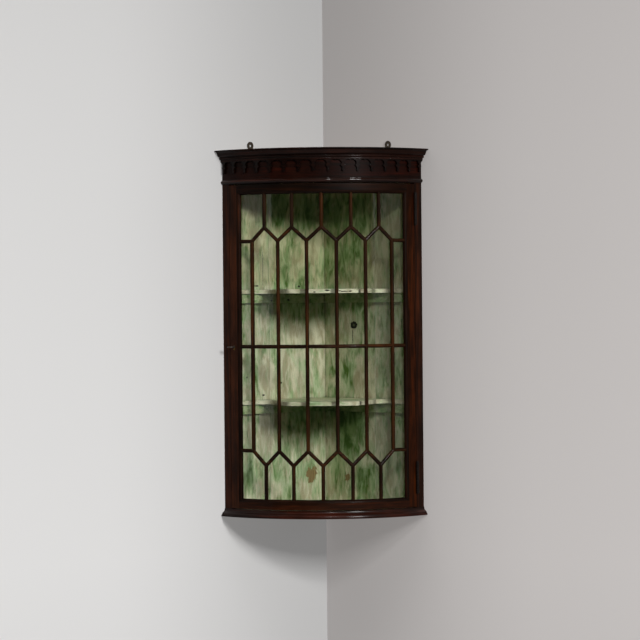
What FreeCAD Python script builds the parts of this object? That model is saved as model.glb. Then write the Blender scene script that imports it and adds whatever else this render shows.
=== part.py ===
import FreeCAD, Part
import math
import os
import Sketcher

# Bow-front hanging corner cabinet, millimetres.
# The whole front is one arc. Its centre is the bow centre, and every plan shape is drawn
# in the bow frame: x runs from the bow centre to the front, y to the right, z up.
# Two walls meet behind the case at a right angle, and both ends of the arc lie on them.

SIZES = {
    # Case as a whole
    "bow_radius": 375.0,
    "case_half_angle": 51.0,
    "case_height": 1070.0,
    "board_lap_radial": 20.0,
    # Back boards
    "back_thickness": 12.0,
    "back_height": 1061.0,
    "left_plank_joint": 240.0,
    "right_plank_joint": 228.0,
    "plank_joint_gap": 0.8,
    # Boards and shelves
    "bottom_board_thickness": 22.0,
    "top_board_underside": 990.0,
    "top_board_thickness": 16.0,
    "shelf_radius": 345.0,
    "shelf_thickness": 12.0,
    "shelf_lobe_half_angle": 14.7,
    "shelf_lobe_corner": 30.0,
    "shelf_scoop_station": 312.0,
    "shelf_scoop_radius": 28.0,
    "shelf_ledge_width": 20.0,
    "upper_shelf_underside": 651.0,
    "lower_shelf_underside": 324.5,
    "cleat_height": 28.0,
    "cleat_thickness": 13.0,
    "cleat_setback": 22.0,
    # Frieze, cornice and applied mouldings
    "frieze_underside": 971.4,
    "cornice_underside": 1037.6,
    "cornice_projection": 30.0,
    "cornice_fascia": 3.4,
    "cornice_fascia_step": 1.4,
    "cornice_neck_projection": 11.0,
    "cornice_neck_level": 1050.6,
    "cornice_bead_radius": 2.5,
    "cornice_foot_projection": 7.0,
    "cornice_foot_height": 1.6,
    "arcade_drop": 35.4,
    "arcade_thickness": 6.0,
    "arcade_half_angle": 49.0,
    "arcade_count": 15,
    "arcade_end_gap": 1.2,
    "arch_crown": 3.2,
    "arch_spring": 13.5,
    "arch_radius": 20.5,
    "pendant_neck": 3.4,
    "pendant_lobe": 7.4,
    "lobe_level": 18.4,
    "lobe_foot": 23.4,
    "tip_neck": 2.0,
    "tip_reach": 3.6,
    "bead_height": 12.3,
    "bead_fillet": 1.4,
    "bead_fillet_projection": 1.3,
    "base_height": 23.0,
    "base_projection": 14.5,
    "base_fascia": 4.8,
    "base_step": 2.2,
    "base_neck_projection": 1.8,
    "base_neck_height": 2.6,
    # Glue blocks behind the cornice
    "block_leg": 18.0,
    "block_length": 62.0,
    "block_count": 5,
    "block_spacing_angle": 19.0,
    # Door
    "door_half_angle": 46.15,
    "door_gap": 1.5,
    "door_bottom": 24.5,
    "door_top": 968.0,
    "door_thickness": 20.0,
    "sight_moulding_width": 9.3,
    "sight_moulding_depth": 10.0,
    "sight_moulding_quirk": 1.0,
    "sight_moulding_edge": 1.8,
    "sight_half_angle": 40.1,
    "sight_bottom": 54.2,
    "sight_top": 938.4,
    "tenon_thickness": 7.0,
    "tenon_shoulder": 4.0,
    "stop_height": 26.0,
    "stop_depth": 11.0,
    "stop_clearance": 0.8,
    # Astragal lattice and glass
    "pane_pitch_angle": 13.5,
    "bar_width": 11.0,
    "bar_rise": 6.4,
    "bar_edge": 1.2,
    "bar_web": 3.2,
    "bar_web_depth": 8.0,
    "upper_peak": 842.1,
    "upper_valley": 803.0,
    "lower_peak": 194.0,
    "lower_valley": 151.8,
    "middle_bar_level": 497.0,
    "glass_thickness": 2.6,
    "glass_clearance": 0.3,
    "glass_edge_clearance": 1.0,
    # Hinges
    "hinge_length": 90.0,
    "upper_hinge_foot": 850.0,
    "lower_hinge_foot": 66.0,
    "hinge_leaf_thickness": 1.2,
    "hinge_leaf_depth": 15.0,
    "hinge_leaf_gap": 0.5,
    "hinge_pin_offset": 4.4,
    "hinge_barrel_radius": 4.2,
    "hinge_pin_radius": 2.0,
    "hinge_pin_clearance": 0.05,
    "knuckle_count": 5,
    "knuckle_gap": 0.3,
    "hinge_cap_height": 2.2,
    "hinge_cap_radius": 3.6,
    # Lock, bolt and key
    "lock_level": 496.0,
    "lock_width": 26.5,
    "lock_above_key": 19.0,
    "lock_below_key": 14.0,
    "lock_case_depth": 10.4,
    "lock_wall": 1.4,
    "lock_seat_clearance": 0.2,
    "backset": 16.0,
    "bolt_height": 10.0,
    "bolt_thickness": 5.0,
    "bolt_length": 24.2,
    "bolt_foot_above_key": 5.6,
    "bolt_clearance": 0.3,
    "bolt_throw": 6.0,
    "bolt_set_in": 0.4,
    "talon_width": 8.8,
    "talon_depth": 2.4,
    "key_shank_radius": 2.4,
    "key_shank_clearance": 0.4,
    "key_bit_reach": 7.2,
    "key_bit_thickness": 1.8,
    "key_bit_length": 4.4,
    "key_collar_radius": 3.6,
    "key_collar_length": 2.0,
    "key_neck_length": 7.0,
    "key_bow_width": 19.0,
    "key_bow_length": 13.0,
    "key_bow_wire": 3.0,
    "liner_wall": 1.0,
    "liner_depth": 3.0,
    "keyhole_slot_width": 3.4,
    "keyhole_slot_reach": 8.2,
    "strike_thickness": 1.6,
    "strike_margin": 5.0,
    "strike_depth": 9.0,
    "mortise_depth": 12.0,
    "mortise_clearance": 1.2,
    # Hanging plates
    "plate_station_left": 300.9,
    "plate_station_right": 276.9,
    "plate_width": 17.0,
    "plate_thickness": 2.0,
    "plate_foot": 1012.0,
    "plate_eye_level": 1089.0,
    "plate_eye_radius": 12.0,
    "plate_hole_radius": 3.8,
    "plate_neck_width": 13.0,
    "plate_screw_radius": 2.0,
    "plate_screw_inset": 10.0,
    "plate_screw_spacing": 24.0,
    # Reach of every cutting shape past what it cuts
    "overrun": 4.0,
}

doc = FreeCAD.newDocument("corner_cabinet")
sheet = doc.addObject("Spreadsheet::Sheet", "sizes")
for row, (alias, number) in enumerate(SIZES.items(), start=1):
    sheet.set(f"A{row}", alias)
    sheet.set(f"B{row}", str(number))
    sheet.setAlias(f"B{row}", alias)
doc.recompute()


class Measure:
    """A number together with the spreadsheet expression that gives it."""

    def __init__(self, number, text):
        self.number = float(number)
        self.text = text

    def __add__(self, other):
        other = measure(other)
        return Measure(self.number + other.number, f"({self.text} + {other.text})")

    __radd__ = __add__

    def __sub__(self, other):
        other = measure(other)
        return Measure(self.number - other.number, f"({self.text} - {other.text})")

    def __rsub__(self, other):
        return measure(other) - self

    def __mul__(self, other):
        other = measure(other)
        return Measure(self.number * other.number, f"({self.text} * {other.text})")

    __rmul__ = __mul__

    def __truediv__(self, other):
        other = measure(other)
        return Measure(self.number / other.number, f"({self.text} / {other.text})")

    def __neg__(self):
        return Measure(-self.number, f"(-1 * {self.text})")


def measure(value):
    """Wrap a plain number, or give a Measure back as it is."""
    if isinstance(value, Measure):
        return value
    return Measure(value, repr(float(value)))


def size(alias):
    """A driving dimension, read from its spreadsheet cell."""
    return Measure(sheet.get(alias), f"sizes.{alias}")


def root(value):
    value = measure(value)
    return Measure(math.sqrt(value.number), f"sqrt({value.text})")


def sine(angle):
    angle = measure(angle)
    return Measure(math.sin(math.radians(angle.number)), f"sin({angle.text})")


def cosine(angle):
    angle = measure(angle)
    return Measure(math.cos(math.radians(angle.number)), f"cos({angle.text})")


# Driving dimensions and what follows from them
half_turn = 180.0
quarter_turn = 90.0
wall_angle = 45.0
degrees_per_radian = half_turn / math.pi
ovolo_radius_share = 0.72
cyma_radius_share = 0.62
cove_radius_share = 1.1
ogee_radius_share = 0.6
bow_radius = size("bow_radius")
case_half = size("case_half_angle")
inner_radius = bow_radius - size("board_lap_radial")
back_thickness = size("back_thickness")
wall_distance = bow_radius * cosine(case_half + wall_angle)
corner_x = wall_distance * root(2)
bow_centre_y = (bow_radius + size("cornice_projection") + corner_x) / 2
gap_half_angle = size("door_gap") / 2 / bow_radius * degrees_per_radian
door_edge_angle = size("door_half_angle") - gap_half_angle
case_edge_angle = size("door_half_angle") + gap_half_angle
door_back_radius = bow_radius - size("door_thickness")
glass_seat_radius = bow_radius - size("sight_moulding_depth")
sight_width_angle = size("sight_moulding_width") / bow_radius * degrees_per_radian
sight_angle = size("sight_half_angle")
frame_angle = sight_angle + sight_width_angle
frame_bottom = size("sight_bottom") - size("sight_moulding_width")
frame_top = size("sight_top") + size("sight_moulding_width")
overrun = size("overrun")


# Places in the bow frame
def polar(radius, angle):
    return (radius * cosine(angle), radius * sine(angle))


def wall_at_radius(radius, inset):
    """The point at a radius on the plane that lies an inset in front of the right wall."""
    distance = wall_distance + inset
    along = root(radius * radius - distance * distance)
    return ((distance + along) * cosine(wall_angle), (along - distance) * cosine(wall_angle))


def wall_point(station, inset):
    """The point a station out from the room corner and an inset in front of the right wall."""
    return (corner_x + (station + inset) * cosine(wall_angle), (station - inset) * cosine(wall_angle))


# Outlines are lists of steps: ("from", point), ("line", point), ("arc", point, centre, radius, ccw)
origin_point = (measure(0), measure(0))


def start(point):
    return ("from", point)


def line(point):
    return ("line", point)


def bow_arc(point, radius, ccw):
    return ("arc", point, origin_point, radius, ccw)


def arc(point, centre, radius, ccw):
    return ("arc", point, centre, radius, ccw)


def mirrored(outline):
    """The same outline on the left side."""
    steps = []
    for step in outline:
        x, y = step[1]
        if step[0] == "arc":
            centre_x, centre_y = step[2]
            steps.append(("arc", (x, -y), (centre_x, -centre_y), step[3], not step[4]))
        else:
            steps.append((step[0], (x, -y)))
    return steps


def on_side(outline, side):
    return outline if side == "right" else mirrored(outline)


# Sketch and feature helpers
def origin_feature(body, role):
    for feature in body.Origin.OriginFeatures:
        if feature.Role == role:
            return feature
    raise ValueError(role)


def vector(point):
    return FreeCAD.Vector(point[0].number, point[1].number, 0)


def add_edge(sketch, begin, step):
    """Add one edge and return which of its ends begin and finish the step.

    An arc's ends are tied later, so here its centre needs only the coordinate along its axis.
    """
    if step[0] == "line":
        index = sketch.addGeometry(Part.LineSegment(vector(begin), vector(step[1])), False)
        return index, 1, 2
    centre = vector(step[2])
    circle = Part.Circle(centre, FreeCAD.Vector(0, 0, 1), step[3].number)
    first = vector(begin) - centre
    last = vector(step[1]) - centre
    angles = [math.atan2(first.y, first.x), math.atan2(last.y, last.x)]
    if not step[4]:
        angles.reverse()
    if angles[1] <= angles[0]:
        angles[1] += math.radians(half_turn) * 2
    index = sketch.addGeometry(Part.ArcOfCircle(circle, angles[0], angles[1]), False)
    upright = abs(last.y - first.y) > abs(last.x - first.x)
    fix_coordinate(sketch, "DistanceX" if upright else "DistanceY", index, 3, step[2][0 if upright else 1])
    return (index, 1, 2) if step[4] else (index, 2, 1)


def fix_coordinate(sketch, kind, index, end, value):
    place = sketch.addConstraint(Sketcher.Constraint(kind, -1, 1, index, end, value.number))
    sketch.setExpression(f"Constraints[{place}]", value.text)


def draw_outline(sketch, outline):
    """Draw a closed outline and tie each corner to the spreadsheet."""
    steps = list(outline[1:])
    first = outline[0][1]
    last = steps[-1][1]
    if abs(first[0].number - last[0].number) + abs(first[1].number - last[1].number) > 1e-9:
        steps.append(line(first))
    begin = first
    edges = []
    for step in steps:
        edges.append(add_edge(sketch, begin, step))
        begin = step[1]
    for here, following in zip(edges, edges[1:] + edges[:1]):
        sketch.addConstraint(Sketcher.Constraint("Coincident", here[0], here[2], following[0], following[1]))
    for edge, step in zip(edges, steps):
        fix_coordinate(sketch, "DistanceX", edge[0], edge[2], step[1][0])
        fix_coordinate(sketch, "DistanceY", edge[0], edge[2], step[1][1])


def draw_circle(sketch, centre, radius):
    circle = Part.Circle(vector(centre), FreeCAD.Vector(0, 0, 1), radius.number)
    index = sketch.addGeometry(circle, False)
    place = sketch.addConstraint(Sketcher.Constraint("Radius", index, radius.number))
    sketch.setExpression(f"Constraints[{place}]", radius.text)
    fix_coordinate(sketch, "DistanceX", index, 3, centre[0])
    fix_coordinate(sketch, "DistanceY", index, 3, centre[1])


def new_sketch(body, name, plane, outlines, circles=(), lift=None, turn=None):
    """A sketch on one of the body's own origin planes, turned about the upright and then lifted."""
    sketch = body.newObject("Sketcher::SketchObject", f"{body.Label}_{name}")
    sketch.AttachmentSupport = (origin_feature(body, plane), [""])
    sketch.MapMode = "FlatFace"
    lift = measure(0 if lift is None else lift)
    turn = measure(0 if turn is None else turn)
    shift = (lift * sine(turn), lift * cosine(turn))
    spin = FreeCAD.Rotation(FreeCAD.Vector(0, 1, 0), turn.number)
    sketch.AttachmentOffset = FreeCAD.Placement(FreeCAD.Vector(shift[0].number, 0, shift[1].number), spin)
    sketch.setExpression("AttachmentOffset.Base.z", shift[1].text)
    if turn.number:
        sketch.setExpression("AttachmentOffset.Base.x", shift[0].text)
        sketch.setExpression("AttachmentOffset.Rotation.Angle", turn.text)
    for outline in outlines:
        draw_outline(sketch, outline)
    for centre, radius in circles:
        draw_circle(sketch, centre, radius)
    return sketch


def new_body(label, turn=0.0):
    """A body in the bow frame, turned by an angle to the right about the bow centre."""
    body = doc.addObject("PartDesign::Body", label)
    body.Label = label
    angle = measure(turn) - quarter_turn
    rotation = FreeCAD.Rotation(FreeCAD.Vector(0, 0, 1), angle.number)
    body.Placement = FreeCAD.Placement(FreeCAD.Vector(0, bow_centre_y.number, 0), rotation)
    body.setExpression("Placement.Base.y", bow_centre_y.text)
    body.setExpression("Placement.Rotation.Angle", angle.text)
    return body


def pad(body, name, sketch, length, midplane=False):
    feature = body.newObject("PartDesign::Pad", f"{body.Label}_{name}")
    feature.Profile = sketch
    feature.Length = length.number
    feature.setExpression("Length", length.text)
    feature.Midplane = midplane
    sketch.Visibility = False
    return feature


def pocket(body, name, sketch, length, midplane=False, reverse=False):
    """Cut a sketch into the body and make sure that it took something away."""
    doc.recompute()
    before = body.Shape.Volume
    feature = body.newObject("PartDesign::Pocket", f"{body.Label}_{name}")
    feature.Profile = sketch
    feature.Length = length.number
    feature.setExpression("Length", length.text)
    feature.Midplane = midplane
    feature.Reversed = reverse
    doc.recompute()
    if body.Shape.Volume >= before:
        raise ValueError(f"{feature.Label} cuts nothing")
    return feature


def revolve(body, name, sketch, angle, centred=True):
    """Sweep a radial profile round the bow centre, as far to the left as to the right or onward."""
    feature = body.newObject("PartDesign::Revolution", f"{body.Label}_{name}")
    feature.Profile = sketch
    feature.ReferenceAxis = (sketch, ["V_Axis"])
    feature.Angle = angle.number
    feature.setExpression("Angle", angle.text)
    feature.Midplane = centred
    return feature


def plan_body(label, outlines, foot, height, circles=()):
    """A board or post with a plan outline, from its foot level up."""
    body = new_body(label)
    sketch = new_sketch(body, "plan", "XY_Plane", outlines, circles, lift=measure(foot))
    pad(body, "board", sketch, height)
    return body


def trim_to_walls(body, radius):
    """Cut a bent piece's ends along both wall planes."""
    far = radius + overrun * 4
    near_point = wall_at_radius(inner_radius - overrun, measure(0))
    far_point = wall_at_radius(far, measure(0))
    behind = [
        start(near_point),
        line(far_point),
        line((far_point[0] - far * sine(wall_angle) / 2, far_point[1] + far * sine(wall_angle) / 2)),
        line((near_point[0] - far * sine(wall_angle) / 2, near_point[1] + far * sine(wall_angle) / 2)),
    ]
    sketch = new_sketch(body, "walls", "XY_Plane", [behind, mirrored(behind)])
    pocket(body, "wall_cut", sketch, size("case_height") * 4, midplane=True)


def bent_body(label, profile, reach):
    """A piece bent to the bow: a radial profile swept from wall to wall."""
    body = new_body(label)
    sketch = new_sketch(body, "profile", "XZ_Plane", [profile])
    revolve(body, "sweep", sketch, case_half * 2 + overrun / bow_radius * degrees_per_radian * 2)
    trim_to_walls(body, bow_radius + reach)
    return body


def rectangle(low_x, low_y, high_x, high_y):
    return [
        start((low_x, low_y)),
        line((high_x, low_y)),
        line((high_x, high_y)),
        line((low_x, high_y)),
    ]


# Back boards: two planks on each wall
def make_back_boards():
    flat = measure(0)
    for side in ("left", "right"):
        joint = size(f"{side}_plank_joint")
        first = flat if side == "left" else back_thickness
        inner = [
            start(wall_point(first, flat)),
            line(wall_point(joint, flat)),
            line(wall_point(joint, back_thickness)),
            line(wall_point(first, back_thickness)),
        ]
        outer_start = joint + size("plank_joint_gap")
        outer = [
            start(wall_point(outer_start, flat)),
            line(wall_at_radius(inner_radius, flat)),
            bow_arc(wall_at_radius(inner_radius, back_thickness), inner_radius, False),
            line(wall_point(outer_start, back_thickness)),
        ]
        plan_body(f"back_plank_{side}_inner", [on_side(inner, side)], flat, size("back_height"))
        outer_plank = plan_body(f"back_plank_{side}_outer", [on_side(outer, side)], flat, size("back_height"))
        recess_hanging_plate(outer_plank, side)


def recess_hanging_plate(plank, side):
    """Let the hanging plate into the plank's rear face."""
    station = size(f"plate_station_{side}")
    half = size("plate_width") / 2
    seat = [
        start(wall_point(station - half, -overrun)),
        line(wall_point(station + half, -overrun)),
        line(wall_point(station + half, size("plate_thickness"))),
        line(wall_point(station - half, size("plate_thickness"))),
    ]
    sketch = new_sketch(plank, "plate_seat", "XY_Plane", [on_side(seat, side)], lift=size("plate_foot"))
    pocket(plank, "plate_recess", sketch, size("back_height"), reverse=True)


# Top board, bottom board and shelves
def inside_outline(front_radius):
    """The plan of a board that fills the case inside the back boards."""
    right = wall_at_radius(front_radius, back_thickness)
    inner_corner = (corner_x + back_thickness * root(2), measure(0))
    return [start(inner_corner), line(right), bow_arc((right[0], -right[1]), front_radius, False)]


def shelf_outline():
    """The plan of a shelf: a bowed lobe in the middle, and a scoop and a narrow ledge at each side."""
    radius = size("shelf_radius")
    corner = size("shelf_lobe_corner")
    scoop = size("shelf_scoop_radius")
    ledge = back_thickness + size("shelf_ledge_width")
    station = size("shelf_scoop_station")
    inner_corner = (corner_x + back_thickness * root(2), measure(0))
    corner_centre = polar(radius - corner, size("shelf_lobe_half_angle"))
    scoop_centre = wall_point(station, ledge + scoop)
    lobe_end = polar(radius, size("shelf_lobe_half_angle"))

    # The flank is the straight line that touches both rounds
    apart_x = scoop_centre[0] - corner_centre[0]
    apart_y = scoop_centre[1] - corner_centre[1]
    apart_squared = apart_x * apart_x + apart_y * apart_y
    both = corner + scoop
    flank = root(apart_squared - both * both)
    out_x = (both * apart_x + flank * apart_y) / apart_squared
    out_y = (both * apart_y - flank * apart_x) / apart_squared
    flank_front = (corner_centre[0] + corner * out_x, corner_centre[1] + corner * out_y)
    flank_back = (scoop_centre[0] - scoop * out_x, scoop_centre[1] - scoop * out_y)

    def left(point):
        return (point[0], -point[1])

    return [
        start(inner_corner),
        line(wall_at_radius(radius, back_thickness)),
        bow_arc(wall_at_radius(radius, ledge), radius, False),
        line(wall_point(station, ledge)),
        arc(flank_back, scoop_centre, scoop, True),
        line(flank_front),
        arc(lobe_end, corner_centre, corner, False),
        bow_arc(left(lobe_end), radius, False),
        arc(left(flank_front), left(corner_centre), corner, False),
        line(left(flank_back)),
        arc(left(wall_point(station, ledge)), left(scoop_centre), scoop, True),
        line(left(wall_at_radius(radius, ledge))),
        bow_arc(left(wall_at_radius(radius, back_thickness)), radius, False),
    ]


def bottom_board_outline():
    inner_corner = (corner_x + back_thickness * root(2), measure(0))
    lap_inner = wall_at_radius(inner_radius, back_thickness)
    lap_outer = wall_at_radius(inner_radius, measure(0))
    front = wall_at_radius(bow_radius, measure(0))
    return [
        start(inner_corner),
        line(lap_inner),
        bow_arc(lap_outer, inner_radius, True),
        line(front),
        bow_arc((front[0], -front[1]), bow_radius, False),
        line((lap_outer[0], -lap_outer[1])),
        bow_arc((lap_inner[0], -lap_inner[1]), inner_radius, True),
    ]


def cleat_outlines():
    """Bearers along both walls; the right one butts against the left one in the corner."""
    front_station = wall_distance * -1 + root(size("shelf_radius") * size("shelf_radius")
                                              - wall_distance * wall_distance) - size("cleat_setback")
    depth = size("cleat_thickness")
    outlines = []
    for side, first in (("left", back_thickness), ("right", back_thickness + depth)):
        bearer = [
            start(wall_point(first, back_thickness)),
            line(wall_point(front_station, back_thickness)),
            line(wall_point(front_station, back_thickness + depth)),
            line(wall_point(first, back_thickness + depth)),
        ]
        outlines.append(on_side(bearer, side))
    return outlines


def make_boards():
    plan_body("bottom_board", [bottom_board_outline()], measure(0), size("bottom_board_thickness"))
    top_foot = size("top_board_underside")
    plan_body("top_board", [inside_outline(inner_radius)], top_foot, size("top_board_thickness"))
    for level in ("upper", "lower"):
        foot = size(f"{level}_shelf_underside")
        plan_body(f"{level}_shelf", [shelf_outline()], foot, size("shelf_thickness"))
        cleat_height = size("cleat_height")
        plan_body(f"{level}_shelf_cleats", cleat_outlines(), foot - cleat_height, cleat_height)


# Case stiles beside the door
def case_stile_outline():
    return [
        start(polar(bow_radius, case_edge_angle)),
        bow_arc(wall_at_radius(bow_radius, measure(0)), bow_radius, True),
        line(wall_at_radius(inner_radius, measure(0))),
        bow_arc(polar(inner_radius, case_edge_angle), inner_radius, False),
    ]


def make_case_stiles():
    foot = size("bottom_board_thickness")
    height = size("frieze_underside") - foot
    right = plan_body("case_stile_right", [case_stile_outline()], foot, height)
    seat_hinge_leaves(right, case_edge_angle, 1)
    left = plan_body("case_stile_left", [mirrored(case_stile_outline())], foot, height)
    seat_strike_plate(left)


# A plan rectangle in the frame of a radial line: along is measured outward on the line,
# across to the right of it
def across_line(angle, along, across):
    return (along * cosine(angle) - across * sine(angle), along * sine(angle) + across * cosine(angle))


def line_rectangle(angle, low_along, low_across, high_along, high_across):
    return [
        start(across_line(angle, low_along, low_across)),
        line(across_line(angle, high_along, low_across)),
        line(across_line(angle, high_along, high_across)),
        line(across_line(angle, low_along, high_across)),
    ]


def seat_hinge_leaves(stile, edge_angle, side):
    """Let the hinge leaves into a stile's edge, as deep as the leaf reaches past the gap."""
    depth = size("hinge_leaf_gap") / 2 + size("hinge_leaf_thickness")
    low = size("door_half_angle")
    reach = size("hinge_leaf_depth")
    seat = line_rectangle(low, bow_radius - reach, measure(0), bow_radius + overrun, depth * side)
    for level in ("upper", "lower"):
        foot = size(f"{level}_hinge_foot")
        sketch = new_sketch(stile, f"{level}_seat", "XY_Plane", [seat], lift=foot)
        pocket(stile, f"{level}_hinge_seat", sketch, size("hinge_length"), reverse=True)


# Frieze rail, cornice, bead, base moulding
def make_frieze():
    frieze = rectangle(inner_radius, size("frieze_underside"), bow_radius, size("back_height"))
    bent_body("frieze_rail", frieze, overrun)


def make_cornice():
    foot = size("cornice_underside")
    top = size("case_height")
    neck = bow_radius + size("cornice_neck_projection")
    neck_level = size("cornice_neck_level")
    bead_radius = size("cornice_bead_radius")
    bead_top = neck_level - size("cornice_fascia_step")
    bead_foot = bead_top - bead_radius * 2
    bead_line = neck - bead_radius / 2
    toe = bow_radius + size("cornice_foot_projection")
    toe_level = foot + size("cornice_foot_height")
    lip = bow_radius + size("cornice_projection")
    soffit_edge = lip - size("cornice_fascia_step")
    soffit = top - size("cornice_fascia")
    middle = ((neck + soffit_edge) / 2, (neck_level + soffit) / 2)
    cyma_radius = (soffit - neck_level) * cyma_radius_share
    cove_radius = (bead_foot - toe_level) * cove_radius_share
    profile = [
        start((bow_radius, foot)),
        line((toe, foot)),
        line((toe, toe_level)),
        arc((bead_line, bead_foot), (bead_line, bead_foot - cove_radius), cove_radius, False),
        arc((bead_line, bead_top), (bead_line, (bead_foot + bead_top) / 2), bead_radius, True),
        line((neck, bead_top)),
        line((neck, neck_level)),
        arc(middle, (neck, neck_level + cyma_radius), cyma_radius, True),
        arc((soffit_edge, soffit), (soffit_edge, soffit - cyma_radius), cyma_radius, False),
        line((lip, soffit)),
        line((lip, top)),
        line((bow_radius, top)),
    ]
    bent_body("cornice_moulding", profile, size("cornice_projection"))


def make_bead():
    foot = size("frieze_underside")
    fillet = size("bead_fillet")
    edge = bow_radius + size("bead_fillet_projection")
    top = foot + size("bead_height")
    radius = size("bead_height") / 2 - fillet
    profile = [
        start((bow_radius, foot)),
        line((edge, foot)),
        line((edge, foot + fillet)),
        arc((edge, top - fillet), (edge, (foot + top) / 2), radius, True),
        line((edge, top)),
        line((bow_radius, top)),
    ]
    bent_body("bead_moulding", profile, size("bead_height"))


def make_base():
    top = size("base_height")
    lip = bow_radius + size("base_projection")
    fascia = size("base_fascia")
    neck = bow_radius + size("base_neck_projection")
    neck_foot = top - size("base_neck_height")
    shoulder = lip - size("base_step")
    middle = ((shoulder + neck) / 2, (fascia + neck_foot) / 2)
    ogee_radius = (neck_foot - fascia) * ogee_radius_share
    profile = [
        start((bow_radius, measure(0))),
        line((lip, measure(0))),
        line((lip, fascia)),
        line((shoulder, fascia)),
        arc(middle, (shoulder - ogee_radius, fascia), ogee_radius, True),
        arc((neck, neck_foot), (neck + ogee_radius, neck_foot), ogee_radius, False),
        line((neck, top)),
        line((bow_radius, top)),
    ]
    bent_body("base_moulding", profile, size("base_projection"))


# Frieze arcade: a thin strip fretted into arches, with a lobed pendant between each two. The
# lobes and the tip have straight chamfers, as a narrow chisel leaves them.
def arch_outline(half_pitch):
    """One arch opening, from a pendant's middle to the next, down to below the strip."""
    top = size("cornice_underside")
    crown = top - size("arch_crown")
    spring = top - size("arch_spring")
    lobe = top - size("lobe_level")
    foot = top - size("lobe_foot")
    below = top - size("arcade_drop") - overrun
    tip = size("tip_reach")
    tip_level = top - size("arcade_drop") + tip
    neck = half_pitch - size("pendant_neck")
    lobe_edge = half_pitch - size("pendant_lobe")
    tip_neck = half_pitch - size("tip_neck")
    arch_radius = size("arch_radius")
    right = [
        ("arc", (neck, spring), (neck - arch_radius, spring), arch_radius, False),
        ("line", (lobe_edge, lobe)),
        ("line", (tip_neck, foot)),
        ("line", (tip_neck, tip_level + tip)),
        ("line", (half_pitch - tip, tip_level)),
        ("line", (half_pitch, tip_level - tip)),
        ("line", (half_pitch, below)),
    ]
    left = []
    points = [(measure(0), crown)] + [step[1] for step in right]
    for index in range(len(right) - 1, -1, -1):
        step = right[index]
        x, y = points[index]
        if step[0] == "arc":
            centre_x, centre_y = step[2]
            left.append(("arc", (-x, y), (-centre_x, centre_y), step[3], step[4]))
        else:
            left.append(("line", (-x, y)))
    return [start((measure(0), crown))] + right + [line((-half_pitch, below))] + left


def pattern_round(body, original, axis_sketch, spacing, count):
    """Repeat a feature round the bow centre."""
    feature = body.newObject("PartDesign::PolarPattern", f"{body.Label}_row")
    feature.Originals = [original]
    feature.Axis = (axis_sketch, ["V_Axis"])
    extent = spacing * (count - 1)
    feature.Angle = extent.number
    feature.setExpression("Angle", extent.text)
    feature.Occurrences = int(count.number)
    feature.setExpression("Occurrences", count.text)
    body.Tip = feature
    doc.recompute()


def make_arcade():
    pitch = size("arcade_half_angle") * 2 / size("arcade_count")
    openings = size("arcade_count") + 2
    first = pitch * (openings - 1) / 2
    top = size("cornice_underside")
    face = bow_radius + size("arcade_thickness")
    end_angle = case_half - size("arcade_end_gap") / bow_radius * degrees_per_radian
    body = new_body("frieze_arcade", turn=-first)
    section = [rectangle(bow_radius, top - size("arcade_drop"), face, top)]
    strip = new_sketch(body, "strip", "XZ_Plane", section, turn=first - end_angle)
    revolve(body, "bend", strip, end_angle * 2, centred=False)
    half_pitch = bow_radius * sine(pitch / 2)
    opening = new_sketch(body, "arch", "YZ_Plane", [arch_outline(half_pitch)])
    cut = pocket(body, "arch_cut", opening, bow_radius * 2, reverse=True)
    pattern_round(body, cut, strip, pitch, openings)


# Glue blocks in the angle behind the cornice and frieze
def make_glue_blocks():
    foot = size("top_board_underside") + size("top_board_thickness")
    leg = size("block_leg")
    half_length = size("block_length") / 2
    count = size("block_count")
    spacing = size("block_spacing_angle")
    body = new_body("glue_blocks", turn=-(spacing * (count - 1) / 2))
    rear = root(inner_radius * inner_radius - half_length * half_length)
    section = [start((rear, foot)), line((rear, foot + leg)), line((rear - leg, foot))]
    sketch = new_sketch(body, "section", "XZ_Plane", [section])
    block = pad(body, "block", sketch, half_length * 2, midplane=True)
    pattern_round(body, block, sketch, spacing, count)


# Door stop strip under the top board
def make_door_stop():
    back = door_back_radius - size("stop_clearance")
    top = size("top_board_underside")
    profile = rectangle(back - size("stop_depth"), top - size("stop_height"), back, top)
    body = new_body("door_stop")
    sketch = new_sketch(body, "profile", "XZ_Plane", [profile])
    revolve(body, "sweep", sketch, size("door_half_angle") * 2)


# Door frame
def door_stile_outline():
    return [
        start(polar(bow_radius, frame_angle)),
        bow_arc(polar(bow_radius, door_edge_angle), bow_radius, True),
        line(polar(door_back_radius, door_edge_angle)),
        bow_arc(polar(door_back_radius, frame_angle), door_back_radius, False),
    ]


def tenon_levels():
    """Foot and head of the bottom and of the top rail's tenons."""
    shoulder = size("tenon_shoulder")
    return (
        (size("door_bottom") + shoulder, frame_bottom - shoulder),
        (frame_top + shoulder, size("door_top") - shoulder),
    )


def tenon_radii():
    middle = bow_radius - size("door_thickness") / 2
    half = size("tenon_thickness") / 2
    return middle - half, middle + half


def cut_mortises(stile, side):
    inner, outer = tenon_radii()
    margin = overrun / bow_radius * degrees_per_radian
    through = [
        start(polar(inner, frame_angle - margin)),
        line(polar(outer, frame_angle - margin)),
        bow_arc(polar(outer, door_edge_angle + margin), outer, True),
        line(polar(inner, door_edge_angle + margin)),
        bow_arc(polar(inner, frame_angle - margin), inner, False),
    ]
    for place, (foot, head) in zip(("bottom", "top"), tenon_levels()):
        sketch = new_sketch(stile, f"{place}_mortise", "XY_Plane", [on_side(through, side)], lift=foot)
        pocket(stile, f"{place}_mortise_cut", sketch, head - foot, reverse=True)


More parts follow.
